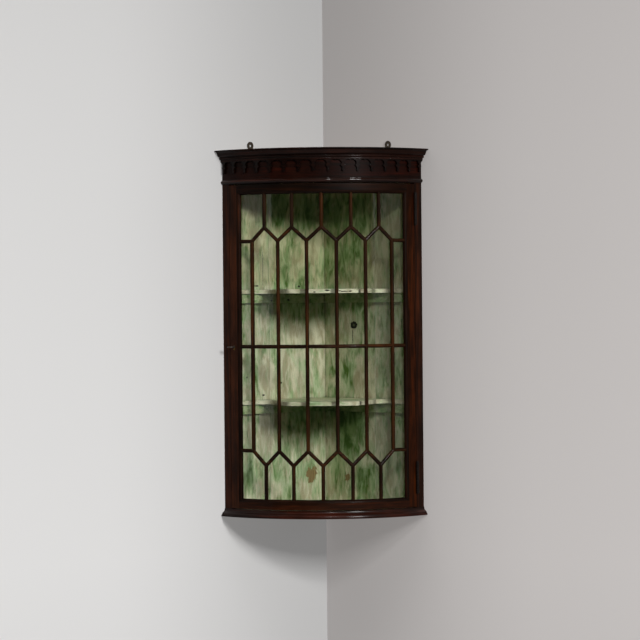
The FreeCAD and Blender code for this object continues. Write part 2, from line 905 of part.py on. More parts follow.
def make_door_frame():
    foot = size("door_bottom")
    height = size("door_top") - foot
    hinge_stile = plan_body("door_stile_hinge", [door_stile_outline()], foot, height)
    cut_mortises(hinge_stile, "right")
    seat_hinge_leaves(hinge_stile, door_edge_angle, -1)
    lock_stile = plan_body("door_stile_lock", [mirrored(door_stile_outline())], foot, height)
    cut_mortises(lock_stile, "left")
    seat_lock(lock_stile)
    inner, outer = tenon_radii()
    rails = (
        ("door_rail_bottom", foot, frame_bottom, tenon_levels()[0]),
        ("door_rail_top", frame_top, size("door_top"), tenon_levels()[1]),
    )
    for label, low, high, tenon in rails:
        rail = new_body(label)
        outline = rectangle(door_back_radius, low, bow_radius, high)
        section = new_sketch(rail, "section", "XZ_Plane", [outline])
        revolve(rail, "rail", section, frame_angle * 2)
        tongue = new_sketch(rail, "tenon", "XZ_Plane", [rectangle(inner, tenon[0], outer, tenon[1])])
        revolve(rail, "tenons", tongue, door_edge_angle * 2)


# Sight mouldings round the glass, mitred at the corners
def ovolo(base_line, sign, radial=False):
    """The moulding's section; base_line is where it meets the frame, sign points to the glass."""
    width = size("sight_moulding_width")
    quirk = size("sight_moulding_quirk")
    seat = glass_seat_radius
    edge = seat + size("sight_moulding_edge")
    front = bow_radius
    seat_line = base_line * seat / front if radial else base_line
    run = width - quirk * 2
    rise = front - quirk - edge
    chord = root(run * run + rise * rise)
    radius = chord * ovolo_radius_share
    behind = root(radius * radius - chord * chord / 4)
    middle = (front - quirk - rise / 2, base_line + width / 2 * sign)
    centre = (middle[0] - run / chord * behind, middle[1] - rise / chord * behind * sign)
    return [
        start((seat, seat_line)),
        line((front, base_line)),
        line((front, base_line + quirk * sign)),
        line((front - quirk, base_line + quirk * sign)),
        arc((edge, base_line + (width - quirk) * sign), centre, radius, sign > 0),
        line((edge, base_line + width * sign)),
        line((seat, base_line + width * sign)),
    ]


def mitre_triangle(inner_point, outer_point, third_point):
    """What a mitre takes off: a triangle that reaches past the moulding at both ends."""
    return [start(inner_point), line(outer_point), line(third_point)]


def make_sight_mouldings():
    corner_angle = (sight_angle + frame_angle) / 2
    half = size("sight_moulding_width") / 2
    reach = overrun
    levels = ((size("sight_bottom"), -1), (size("sight_top"), 1))
    for side_name, side in (("left", -1), ("right", 1)):
        body = new_body(f"sight_moulding_{side_name}", turn=corner_angle * side)
        section = new_sketch(body, "section", "XY_Plane", [ovolo(half * side, -side, True)],
                             lift=frame_bottom)
        pad(body, "moulding", section, frame_top - frame_bottom)
        cuts = []
        for level, up in levels:
            low = (-(half + reach) * side, level - reach * up)
            high = ((half + reach) * side, level + (half * 2 + reach) * up)
            cuts.append(mitre_triangle(low, high, (-(half + reach) * side, level + (half * 2 + reach) * up)))
        sketch = new_sketch(body, "mitres", "YZ_Plane", cuts)
        pocket(body, "mitre_cuts", sketch, bow_radius * 4, midplane=True)
    for name, (level, up) in zip(("bottom", "top"), levels):
        body = new_body(f"sight_moulding_{name}")
        base_line = level + half * 2 * up
        section = new_sketch(body, "section", "XZ_Plane", [ovolo(base_line, -up)])
        revolve(body, "moulding", section, (frame_angle + sight_width_angle / 2) * 2)
        for side_name, side in (("left", -1), ("right", 1)):
            low = (-(half + reach) * side, level - reach * up)
            high = ((half + reach) * side, level + (half * 2 + reach) * up)
            far = (half + reach) * 2
            cut = [
                start(low),
                line(high),
                line((far * side * 2, level + (half * 2 + reach) * up)),
                line((far * side * 2, level - reach * up)),
            ]
            sketch = new_sketch(body, f"mitre_{side_name}", "YZ_Plane", [cut], turn=corner_angle * side)
            pocket(body, f"mitre_cut_{side_name}", sketch, bow_radius + overrun, reverse=True)


# Lock: in the frame of the radial line of the door's left edge
lock_angle = -door_edge_angle
lock_back = door_back_radius - size("lock_wall")
lock_front = door_back_radius + size("lock_case_depth")
lock_middle = (door_back_radius + lock_front) / 2
lock_foot = size("lock_level") - size("lock_below_key")
lock_head = size("lock_level") + size("lock_above_key")
lock_wall = size("lock_wall")
bolt_foot = size("lock_level") + size("bolt_foot_above_key")
key_across = size("backset")
face_at_key = root(bow_radius * bow_radius - key_across * key_across)
key_centre = (key_across, size("lock_level"))
keyhole_radius = size("key_shank_radius") + size("key_shank_clearance")


def keyhole(margin):
    """A keyhole: a round for the shank with a slot below it for the bit."""
    across, level = key_centre
    radius = keyhole_radius + margin
    half = size("keyhole_slot_width") / 2 + margin
    foot = level - size("keyhole_slot_reach") - margin
    join = level - root(radius * radius - half * half)
    return [
        start((across - half, foot)),
        line((across + half, foot)),
        line((across + half, join)),
        arc((across - half, join), key_centre, radius, True),
    ]


def seat_lock(stile):
    """Let the lock into the stile from behind, and cut the keyhole through the face."""
    clearance = size("lock_seat_clearance")
    seat = line_rectangle(lock_angle, lock_back - overrun, -overrun,
                          lock_front + clearance, size("lock_width") + clearance)
    sketch = new_sketch(stile, "lock_seat", "XY_Plane", [seat], lift=lock_foot - clearance)
    pocket(stile, "lock_recess", sketch, lock_head - lock_foot + clearance * 2, reverse=True)
    hole = new_sketch(stile, "keyhole", "YZ_Plane", [keyhole(measure(0))], turn=lock_angle)
    pocket(stile, "keyhole_cut", hole, bow_radius + overrun, reverse=True)
    liner_seat = new_sketch(stile, "liner_seat", "YZ_Plane", [keyhole(size("liner_wall"))],
                            lift=face_at_key - size("liner_depth"), turn=lock_angle)
    pocket(stile, "liner_recess", liner_seat, size("liner_depth") + overrun, reverse=True)


def seat_strike_plate(stile):
    """Let the strike plate into the case stile's edge and cut the bolt's mortise behind it."""
    edge = -size("door_half_angle")
    gap = size("door_gap") / 2
    half = size("strike_depth") / 2
    seat = line_rectangle(edge, lock_middle - half, overrun,
                          lock_middle + half, -(gap + size("strike_thickness")))
    seat_foot = bolt_foot - size("strike_margin")
    seat_height = size("bolt_height") + size("strike_margin") * 2
    sketch = new_sketch(stile, "strike_seat", "XY_Plane", [seat], lift=seat_foot)
    pocket(stile, "strike_recess", sketch, seat_height, reverse=True)
    clearance = size("mortise_clearance")
    half_hole = size("bolt_thickness") / 2 + clearance
    hole = line_rectangle(edge, lock_middle - half_hole, overrun,
                          lock_middle + half_hole, -(gap + size("mortise_depth")))
    sketch = new_sketch(stile, "mortise", "XY_Plane", [hole], lift=bolt_foot - clearance)
    pocket(stile, "mortise_cut", sketch, size("bolt_height") + clearance * 2, reverse=True)


def make_strike_plate():
    edge = -size("door_half_angle")
    gap = size("door_gap") / 2
    half = size("strike_depth") / 2
    foot = bolt_foot - size("strike_margin")
    body = new_body("strike_plate", turn=edge)
    outline = rectangle(lock_middle - half, -(gap + size("strike_thickness")), lock_middle + half, -gap)
    sketch = new_sketch(body, "plan", "XY_Plane", [outline], lift=foot)
    pad(body, "plate", sketch, size("bolt_height") + size("strike_margin") * 2)
    clearance = size("mortise_clearance")
    half_hole = size("bolt_thickness") / 2 + clearance
    hole = rectangle(lock_middle - half_hole, bolt_foot - clearance,
                     lock_middle + half_hole, bolt_foot + size("bolt_height") + clearance)
    sketch = new_sketch(body, "hole", "XZ_Plane", [hole])
    pocket(body, "bolt_hole", sketch, size("mortise_depth") * 2, midplane=True)


def make_lock():
    width = size("lock_width")
    height = lock_head - lock_foot
    case = new_body("lock_case", turn=lock_angle)
    outline = rectangle(door_back_radius, measure(0), lock_front, width)
    sketch = new_sketch(case, "plan", "XY_Plane", [outline], lift=lock_foot)
    pad(case, "block", sketch, height)
    hollow = rectangle(door_back_radius - overrun, lock_wall, lock_front - lock_wall, width - lock_wall)
    sketch = new_sketch(case, "hollow", "XY_Plane", [hollow], lift=lock_foot + lock_wall)
    pocket(case, "hollow_cut", sketch, height - lock_wall * 2, reverse=True)
    play = size("bolt_clearance")
    half = size("bolt_thickness") / 2 + play
    bolt_head = bolt_foot + size("bolt_height")
    slot = rectangle(lock_middle - half, bolt_foot - play, lock_middle + half, bolt_head + play)
    sketch = new_sketch(case, "slot", "XZ_Plane", [slot])
    pocket(case, "bolt_slot", sketch, (lock_wall + overrun) * 2, midplane=True)
    sketch = new_sketch(case, "keyhole", "YZ_Plane", [keyhole(measure(0))], lift=lock_front - lock_wall * 2)
    pocket(case, "keyhole_cut", sketch, lock_wall * 2 + overrun, reverse=True)
    cover = new_body("lock_cover", turn=lock_angle)
    outline = rectangle(lock_back, measure(0), door_back_radius, width)
    sketch = new_sketch(cover, "plan", "XY_Plane", [outline], lift=lock_foot)
    pad(cover, "plate", sketch, height)


def make_bolt():
    """The bolt, drawn back: its nose is just inside the lock's edge."""
    half = size("bolt_thickness") / 2
    nose = size("bolt_set_in")
    body = new_body("lock_bolt", turn=lock_angle)
    outline = rectangle(lock_middle - half, nose, lock_middle + half, nose + size("bolt_length"))
    sketch = new_sketch(body, "plan", "XY_Plane", [outline], lift=bolt_foot)
    pad(body, "bar", sketch, size("bolt_height"))
    talon = key_across + size("bolt_throw") / 2
    half_talon = size("talon_width") / 2
    notch_head = bolt_foot + size("talon_depth")
    notch = rectangle(talon - half_talon, bolt_foot - overrun, talon + half_talon, notch_head)
    sketch = new_sketch(body, "talon", "YZ_Plane", [notch], lift=lock_middle)
    pocket(body, "talon_cut", sketch, size("bolt_thickness") * 2, midplane=True)


def stadium(middle, half_run, radius):
    """An oval of two half rounds, drawn across the key's axis."""
    x, y = middle
    return [
        start((x - radius, y - half_run)),
        arc((x + radius, y - half_run), (x, y - half_run), radius, True),
        line((x + radius, y + half_run)),
        arc((x - radius, y + half_run), (x, y + half_run), radius, True),
    ]


def make_key():
    """The key in the unlocked lock: bow level, bit level and pointing away from the door's edge."""
    body = new_body("key", turn=lock_angle)
    shank = size("key_shank_radius")
    nose = door_back_radius + size("key_shank_clearance")
    shoulder = face_at_key + size("key_shank_clearance")
    collar_end = shoulder + size("key_collar_length")
    bow_start = collar_end + size("key_neck_length")
    wire = size("key_bow_wire")
    half_length = size("key_bow_length") / 2
    sketch = new_sketch(body, "shank", "YZ_Plane", [], [(key_centre, shank)], lift=nose)
    pad(body, "shank_rod", sketch, bow_start + wire / 2 - nose)
    collar = [(key_centre, size("key_collar_radius"))]
    sketch = new_sketch(body, "collar", "YZ_Plane", [], collar, lift=shoulder)
    pad(body, "collar_ring", sketch, size("key_collar_length"))
    bit_half = size("key_bit_thickness") / 2
    bit_start = lock_middle - size("key_bit_length") / 2
    bit_end = bit_start + size("key_bit_length")
    bit = rectangle(bit_start, key_across, bit_end, key_across + size("key_bit_reach"))
    sketch = new_sketch(body, "bit", "XY_Plane", [bit], lift=size("lock_level") - bit_half)
    pad(body, "bit_plate", sketch, bit_half * 2)
    middle = (bow_start + half_length, key_across)
    run = size("key_bow_width") / 2 - half_length
    ring = [stadium(middle, run, half_length), stadium(middle, run, half_length - wire)]
    sketch = new_sketch(body, "bow", "XY_Plane", ring, lift=size("lock_level") - wire / 2)
    pad(body, "bow_ring", sketch, wire)


def make_keyhole_liner():
    body = new_body("keyhole_liner", turn=lock_angle)
    depth = size("liner_depth")
    outlines = [keyhole(size("liner_wall")), keyhole(measure(0))]
    sketch = new_sketch(body, "outline", "YZ_Plane", outlines, lift=face_at_key - depth)
    pad(body, "ring", sketch, depth)


# Butt hinges, in the frame of the radial line through the gap
pin_radius_place = bow_radius + size("hinge_pin_offset")
pin_centre = (pin_radius_place, measure(0))


def make_hinge_leaf(label, foot, side, first_knuckle):
    """One leaf with its knuckles; side is 1 on the case and -1 on the door."""
    body = new_body(label, turn=size("door_half_angle"))
    inner = size("hinge_leaf_gap") / 2
    outer = inner + size("hinge_leaf_thickness")
    bore = size("hinge_pin_radius") + size("hinge_pin_clearance")
    barrel = size("hinge_barrel_radius")
    leaf_end = pin_radius_place - barrel - size("knuckle_gap")
    leaf = rectangle(bow_radius - size("hinge_leaf_depth"), inner * side, leaf_end, outer * side)
    sketch = new_sketch(body, "plan", "XY_Plane", [leaf], lift=foot)
    pad(body, "leaf", sketch, size("hinge_length"))
    count = int(size("knuckle_count").number)
    pitch = size("hinge_length") / size("knuckle_count")
    gap = size("knuckle_gap")
    for index in range(first_knuckle, count, 2):
        low = foot + pitch * index + (gap / 2 if index else 0)
        high = foot + pitch * (index + 1) - (gap / 2 if index < count - 1 else 0)
        tab = rectangle(leaf_end - gap, inner * side, pin_radius_place - (barrel + bore) / 2, outer * side)
        sketch = new_sketch(body, f"tab_{index}", "XY_Plane", [tab], lift=low)
        pad(body, f"tab_pad_{index}", sketch, high - low)
        rings = [(pin_centre, barrel), (pin_centre, bore)]
        sketch = new_sketch(body, f"knuckle_{index}", "XY_Plane", [], rings, lift=low)
        pad(body, f"knuckle_pad_{index}", sketch, high - low)


def make_hinges():
    for level in ("upper", "lower"):
        foot = size(f"{level}_hinge_foot")
        make_hinge_leaf(f"hinge_leaf_case_{level}", foot, 1, 0)
        make_hinge_leaf(f"hinge_leaf_door_{level}", foot, -1, 1)
        pin = new_body(f"hinge_pin_{level}", turn=size("door_half_angle"))
        cap = size("hinge_cap_height")
        head = foot + size("hinge_length")
        rod = [(pin_centre, size("hinge_pin_radius"))]
        sketch = new_sketch(pin, "rod", "XY_Plane", [], rod, lift=foot - cap)
        pad(pin, "rod_pad", sketch, size("hinge_length") + cap * 2)
        for name, low in (("foot", foot - cap), ("head", head)):
            disc = [(pin_centre, size("hinge_cap_radius"))]
            sketch = new_sketch(pin, f"{name}_cap", "XY_Plane", [], disc, lift=low)
            pad(pin, f"{name}_cap_pad", sketch, cap)


# Hanging plates, in the frame of each wall: x runs from the wall into the room
def make_hanging_plates():
    half = size("plate_width") / 2
    neck = size("plate_neck_width") / 2
    foot = size("plate_foot")
    eye = size("plate_eye_radius")
    head = size("plate_eye_level")
    shoulder = size("back_height")
    neck_level = shoulder + half - neck
    join = head - root(eye * eye - neck * neck)
    first_screw = foot + size("plate_screw_inset")
    screws = [first_screw, first_screw + size("plate_screw_spacing")]
    for side_name, side in (("left", -1), ("right", 1)):
        middle = (wall_distance + size(f"plate_station_{side_name}")) * side
        outline = [
            start((middle - half, foot)),
            line((middle + half, foot)),
            line((middle + half, shoulder)),
            line((middle + neck, neck_level)),
            line((middle + neck, join)),
            arc((middle - neck, join), (middle, head), eye, True),
            line((middle - neck, neck_level)),
            line((middle - half, shoulder)),
        ]
        holes = [((middle, head), size("plate_hole_radius"))]
        holes += [((middle, level), size("plate_screw_radius")) for level in screws]
        body = new_body(f"hanging_plate_{side_name}", turn=measure(wall_angle) * -side)
        sketch = new_sketch(body, "outline", "YZ_Plane", [outline], holes, lift=wall_distance)
        pad(body, "plate", sketch, size("plate_thickness"))


# Astragal lattice and glass. The slanting bars are straight and lie along chords of the bow,
# so they are made from their section by direct shape functions, in the bow frame.
made_shapes = []
bow_placement = FreeCAD.Placement(
    FreeCAD.Vector(0, bow_centre_y.number, 0), FreeCAD.Rotation(FreeCAD.Vector(0, 0, 1), -quarter_turn))
pitch_angle = size("pane_pitch_angle").number
seat = glass_seat_radius.number
upright = FreeCAD.Vector(0, 0, 1)


def directions(angle):
    """The outward and the rightward direction at an angle of the bow."""
    turn = math.radians(angle)
    outward = FreeCAD.Vector(math.cos(turn), math.sin(turn), 0)
    return outward, FreeCAD.Vector(-math.sin(turn), math.cos(turn), 0)


def bar_section(place, outward, across):
    """The astragal: a round-faced bar with a thin web behind it, as one face."""
    half = size("bar_width").number / 2
    edge = size("bar_edge").number
    rise = size("bar_rise").number
    web = size("bar_web").number / 2
    depth = size("bar_web_depth").number

    def spot(out, side):
        return place + outward * out + across * side

    crown = Part.Arc(spot(edge, half), spot(rise, 0), spot(edge, -half)).toShape()
    corners = [spot(edge, -half), spot(0, -half), spot(0, -web), spot(-depth, -web),
               spot(-depth, web), spot(0, web), spot(0, half), spot(edge, half)]
    sides = [Part.makeLine(a, b) for a, b in zip(corners, corners[1:])]
    return Part.Face(Part.Wire([crown] + sides))


def upright_bar(turns, low, high):
    outward, across = directions(turns * pitch_angle)
    place = outward * seat + upright * low
    return bar_section(place, outward, across).extrude(upright * (high - low))


def wedge(low_angle, high_angle):
    """The space between two radial planes, past every bar and over the case's height."""
    reach = (bow_radius + overrun).number * 2
    height = size("case_height").number
    corners = [FreeCAD.Vector(0, 0, 0), directions(low_angle)[0] * reach, directions(high_angle)[0] * reach]
    return Part.Face(Part.makePolygon(corners + corners[:1])).extrude(upright * height)


def slanting_frame(turns, levels):
    """Start, direction, length and side of a chord between two nodes of the lattice."""
    angles = [turn * pitch_angle for turn in turns]
    outward, across = directions(sum(angles) / 2)
    ends = [directions(angle)[0] * seat + upright * level for angle, level in zip(angles, levels)]
    run = ends[1] - ends[0]
    direction = FreeCAD.Vector(run).normalize()
    return ends[0], direction, run.Length, outward, direction.cross(outward)


def slanting_bar(turns, levels):
    """A straight bar between two nodes, mitred at both on the radial planes."""
    place, direction, length, outward, side = slanting_frame(turns, levels)
    spare = size("bar_width").number
    blank = bar_section(place - direction * spare, outward, side).extrude(direction * (length + spare * 2))
    return blank.common(wedge(turns[0] * pitch_angle, turns[1] * pitch_angle))


def bent_bar(level, low_angle, high_angle):
    outward, across = directions(low_angle)
    section = bar_section(outward * seat + upright * level, outward, upright)
    return section.revolve(FreeCAD.Vector(0, 0, 0), upright, high_angle - low_angle)


def zigzag_nodes(peak, valley, peaks_on_half):
    """Nodes from left to right: turns of the pane pitch with their level."""
    nodes = []
    for step in range(-5, 6):
        on_half = step % 2 != 0
        nodes.append((step / 2, peak if on_half == peaks_on_half else valley))
    return nodes


def in_bow_frame(label):
    """A finished body's shape, moved back into the bow frame."""
    shape = doc.getObject(label).Shape.copy()
    shape.Placement = bow_placement.inverse().multiply(shape.Placement)
    return shape


def keep_shape(label, solids):
    """Store loose solids under one label and put them at the bow's place."""
    piece = doc.addObject("Part::Feature", label)
    piece.Label = label
    piece.Shape = solids[0] if len(solids) == 1 else Part.makeCompound(solids)
    piece.Placement = bow_placement
    made_shapes.append(label)
    return piece


def trimmed(bars, tools):
    """Cut bars to the faces that they meet, and keep each bar's solids."""
    tool = Part.makeCompound(tools)
    solids = []
    for bar in bars:
        solids += bar.cut(tool).Solids
    return solids


def make_lattice():
    upper = [size("upper_peak").number, size("upper_valley").number]
    lower = [size("lower_peak").number, size("lower_valley").number]
    middle = size("middle_bar_level").number
    low_end = frame_bottom.number
    high_end = frame_top.number
    side_end = frame_angle.number
    outer = 2.5
    upper_nodes = zigzag_nodes(upper[0], upper[1], False)
    lower_nodes = zigzag_nodes(lower[0], lower[1], True)
    zigzags = {}
    for name, nodes in (("upper", upper_nodes), ("lower", lower_nodes)):
        pairs = list(zip(nodes, nodes[1:]))
        zigzags[name] = [slanting_bar((a[0], b[0]), (a[1], b[1])) for a, b in pairs]
        keep_shape(f"zigzag_bars_{name}", zigzags[name])
    side_mouldings = [in_bow_frame("sight_moulding_left"), in_bow_frame("sight_moulding_right")]
    stubs = []
    for level in (upper[1], lower[0]):
        stubs.append(bent_bar(level, outer * pitch_angle, side_end))
        stubs.append(bent_bar(level, -side_end, -outer * pitch_angle))
    stubs = trimmed(stubs, side_mouldings)
    keep_shape("end_bars", stubs)
    level_bar = trimmed([bent_bar(middle, -side_end, side_end)], side_mouldings)
    keep_shape("middle_rail_bar", level_bar)
    whole = [-2, -1, 0, 1, 2]
    halves = [-2.5, -1.5, -0.5, 0.5, 1.5, 2.5]
    tools = zigzags["upper"] + [in_bow_frame("sight_moulding_top")]
    upper_bars = [upright_bar(turns, upper[0], high_end) for turns in whole]
    keep_shape("upright_bars_upper", trimmed(upper_bars, tools))
    tools = zigzags["lower"] + [in_bow_frame("sight_moulding_bottom")]
    lower_bars = [upright_bar(turns, low_end, lower[1]) for turns in whole]
    keep_shape("upright_bars_lower", trimmed(lower_bars, tools))
    tools = zigzags["upper"] + zigzags["lower"] + stubs + level_bar
    middle_bars = [upright_bar(turns, foot, head) for turns in halves
                   for foot, head in ((lower[0], middle), (middle, upper[1]))]
    keep_shape("upright_bars_middle", trimmed(middle_bars, tools))
    make_glass(upper_nodes, lower_nodes, upper, lower, middle)


def web_blank(place, direction, length, outward, side):
    """What a bar's web takes from the glass, with its clearance."""
    half = size("bar_web").number / 2 + size("glass_edge_clearance").number / 2
    deep = size("bar_web_depth").number * 2
    corners = [place + outward * out + side * off for out, off in
               ((deep, -half), (-deep, -half), (-deep, half), (deep, half))]
    return Part.Face(Part.makePolygon(corners + corners[:1])).extrude(direction * length)


def make_glass(upper_nodes, lower_nodes, upper, lower, middle):
    """One bent sheet, parted by the webs into the panes of four rows."""
    front = seat * math.cos(math.radians(pitch_angle / 4)) - size("glass_clearance").number
    back = front - size("glass_thickness").number
    edge = size("glass_edge_clearance").number
    edge_angle = math.degrees(edge / front)
    low = frame_bottom.number + edge
    high = frame_top.number - edge
    half_angle = frame_angle.number - edge_angle
    outward = directions(-half_angle)[0]
    corners = [outward * back + upright * low, outward * front + upright * low,
               outward * front + upright * high, outward * back + upright * high]
    sheet_face = Part.Face(Part.makePolygon(corners + corners[:1]))
    pane_sheet = sheet_face.revolve(FreeCAD.Vector(0, 0, 0), upright, half_angle * 2)
    spare = size("bar_web").number / 2
    cutters = []
    for nodes in (upper_nodes, lower_nodes):
        for a, b in zip(nodes, nodes[1:]):
            place, direction, length, outward, side = slanting_frame((a[0], b[0]), (a[1], b[1]))
            cutters.append(web_blank(place - direction * spare, direction, length + spare * 2, outward, side))
    spans = [(-2, -1, 0, 1, 2), (-2.5, -1.5, -0.5, 0.5, 1.5, 2.5), (-2, -1, 0, 1, 2)]
    ranges = [(upper[0], high + edge * 2), (lower[0], upper[1]), (low - edge * 2, lower[1])]
    for turns_row, (foot, head) in zip(spans, ranges):
        for turns in turns_row:
            outward, across = directions(turns * pitch_angle)
            cutters.append(web_blank(outward * seat + upright * foot, upright, head - foot, outward, across))
    half_web = size("bar_web").number / 2 + edge / 2
    deep = size("bar_web_depth").number * 2
    spreads = [(middle, -half_angle - edge_angle, half_angle + edge_angle)]
    outer = 2.5 * pitch_angle
    for level in (upper[1], lower[0]):
        spreads.append((level, outer, half_angle + edge_angle))
        spreads.append((level, -half_angle - edge_angle, -outer))
    for level, first, last in spreads:
        outward = directions(first)[0]
        corners = [outward * (seat + out) + upright * (level + up) for out, up in
                   ((-deep, -half_web), (deep, -half_web), (deep, half_web), (-deep, half_web))]
        band = Part.Face(Part.makePolygon(corners + corners[:1]))
        cutters.append(band.revolve(FreeCAD.Vector(0, 0, 0), upright, last - first))
    panes = pane_sheet.cut(Part.makeCompound(cutters)).Solids
    limits = [upper[1], middle, lower[0], 0]
    ceiling = high + edge
    for name, floor_level in zip(("upper", "middle_upper", "middle_lower", "lower"), limits):
        row_panes = [pane for pane in panes if floor_level < pane.CenterOfMass.z <= ceiling]
        keep_shape(f"glass_{name}", row_panes)
        ceiling = floor_level


make_back_boards()
make_boards()
make_case_stiles()
make_frieze()
make_cornice()
make_bead()
make_base()
make_arcade()
make_glue_blocks()
make_door_stop()
make_door_frame()
make_sight_mouldings()
make_strike_plate()
make_lock()
make_bolt()
make_key()
make_keyhole_liner()
make_hinges()
make_hanging_plates()
doc.recompute()
make_lattice()


def write_parts():
    """Check every object and every piece, then write one file for each piece."""
    doc.recompute()
    for item in doc.Objects:
        if "Invalid" in item.State or "Error" in item.State:
            raise RuntimeError(f"{item.Label} failed: {item.State}")
    pieces = [item for item in doc.Objects if item.TypeId == "PartDesign::Body" or item.Label in made_shapes]
    for piece in pieces:
        if piece.Shape.isNull() or not piece.Shape.isValid():
            raise RuntimeError(f"{piece.Label} has no valid shape")
    os.makedirs("parts", exist_ok=True)
    for piece in pieces:
        piece.Shape.exportStep(os.path.join("parts", f"{piece.Label}.step"))
        print(piece.Label, len(piece.Shape.Solids), round(piece.Shape.Volume))


write_parts()
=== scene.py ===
"""Looks of a bow-front hanging corner cabinet: polished mahogany, worn green paint and old glass.

The cabinet hangs in a room corner. Its whole front is one arc about the bow centre, so most
patterns follow coordinates round that arc. Sizes are in metres unless a name or a comment says
millimetres.
"""

import logging
import math
from dataclasses import dataclass
from enum import Enum
from functools import partial
from typing import Any, Callable, Iterable

import bpy
from mathutils import Matrix, Vector


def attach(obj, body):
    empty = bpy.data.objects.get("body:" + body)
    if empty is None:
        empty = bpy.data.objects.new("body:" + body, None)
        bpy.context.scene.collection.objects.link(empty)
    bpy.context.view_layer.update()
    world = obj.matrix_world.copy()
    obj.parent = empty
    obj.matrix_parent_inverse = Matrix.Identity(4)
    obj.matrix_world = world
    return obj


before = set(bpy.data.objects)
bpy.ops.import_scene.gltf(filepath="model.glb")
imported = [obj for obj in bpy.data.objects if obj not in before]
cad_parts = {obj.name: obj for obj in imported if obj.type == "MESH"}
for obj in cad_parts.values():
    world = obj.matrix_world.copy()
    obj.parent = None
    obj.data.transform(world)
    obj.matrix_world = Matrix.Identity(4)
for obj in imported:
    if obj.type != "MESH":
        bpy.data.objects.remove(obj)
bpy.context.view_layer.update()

LOG = logging.getLogger("corner_cabinet")
MM = 0.001

Piece = bpy.types.Object
Socket = bpy.types.NodeSocket
Add = Callable[..., Socket]
Point = tuple[float, float, float]
Color = tuple[float, float, float, float]
Places = list[tuple[Vector, Vector, float]]


# Helpers shared by the finishes

def linear(code: str) -> Color:
    """Turn an sRGB hex colour into linear values.

    Args:
        code: Six hex digits, with or without a leading hash.

    Returns:
        Red, green, blue and an alpha of one.
    """
    values = [int(code.lstrip("#")[i:i + 2], 16) / 255 for i in (0, 2, 4)]
    red, green, blue = [v / 12.92 if v <= 0.04045 else ((v + 0.055) / 1.055) ** 2.4 for v in values]
    return (red, green, blue, 1.0)


def add_node(tree: bpy.types.NodeTree, kind: str, *inputs: Any, output: str = "",
             stops: Iterable[tuple[float, str]] = (), **named: Any) -> Socket:
    """Add a node with its settings and links.

    A value is set on its input, and a socket is linked to it.

    Args:
        tree: The tree that gets the node.
        kind: The node's type without its "ShaderNode" start, and after a dot its operation.
        inputs: What goes to its inputs, from the first one on. "MapRange" takes the value, the
            ends of the range that it reads and the ends of the range that it gives.
        output: The output that is wanted, where it isn't the first one in use.
        stops: The places and hex colours of a colour ramp.
        named: Its properties, and what goes to inputs by name, with "_" for a blank.

    Returns:
        The wanted output.
    """
    kind, _, operation = kind.partition(".")
    node = tree.nodes.new("ShaderNode" + kind)
    if operation:
        node.operation = operation
    for key in [key for key in named if hasattr(node, key)]:
        setattr(node, key, named.pop(key))
    for index, (place, code) in enumerate(stops):
        elements = node.color_ramp.elements
        if index == len(elements):
            elements.new(1.0)
        elements[index].position = place
        elements[index].color = linear(code)
    for key, value in (*enumerate(inputs), *named.items()):
        socket = node.inputs[key.replace("_", " ") if isinstance(key, str) else key]
        if isinstance(value, Socket):
            tree.links.new(value, socket)
        else:
            socket.default_value = value
    return node.outputs[output] if output else next(socket for socket in node.outputs if socket.enabled)


def link_new(name: str, data: bpy.types.ID) -> bpy.types.Object:
    """Put new data into the scene.

    Args:
        name: The object's name.
        data: A mesh, a lamp or a camera.

    Returns:
        The object.
    """
    made = bpy.data.objects.new(name, data)
    bpy.context.collection.objects.link(made)
    return made


def build_tree(tree: bpy.types.NodeTree, kind: str, surface: Callable[[Add], Socket]) -> None:
    """Empty a tree and build it anew.

    Args:
        tree: The tree of a material or a world.
        kind: The output node's type without its "ShaderNode" start.
        surface: Adds the other nodes and gives the shader.
    """
    tree.nodes.clear()
    output = tree.nodes.new("ShaderNode" + kind)
    tree.links.new(surface(partial(add_node, tree)), output.inputs["Surface"])


def millimetres(add: Add) -> Socket:
    """Give Object coordinates in millimetres."""
    return add("VectorMath.SCALE", add("TexCoord", output="Object"), Scale=1 / MM)


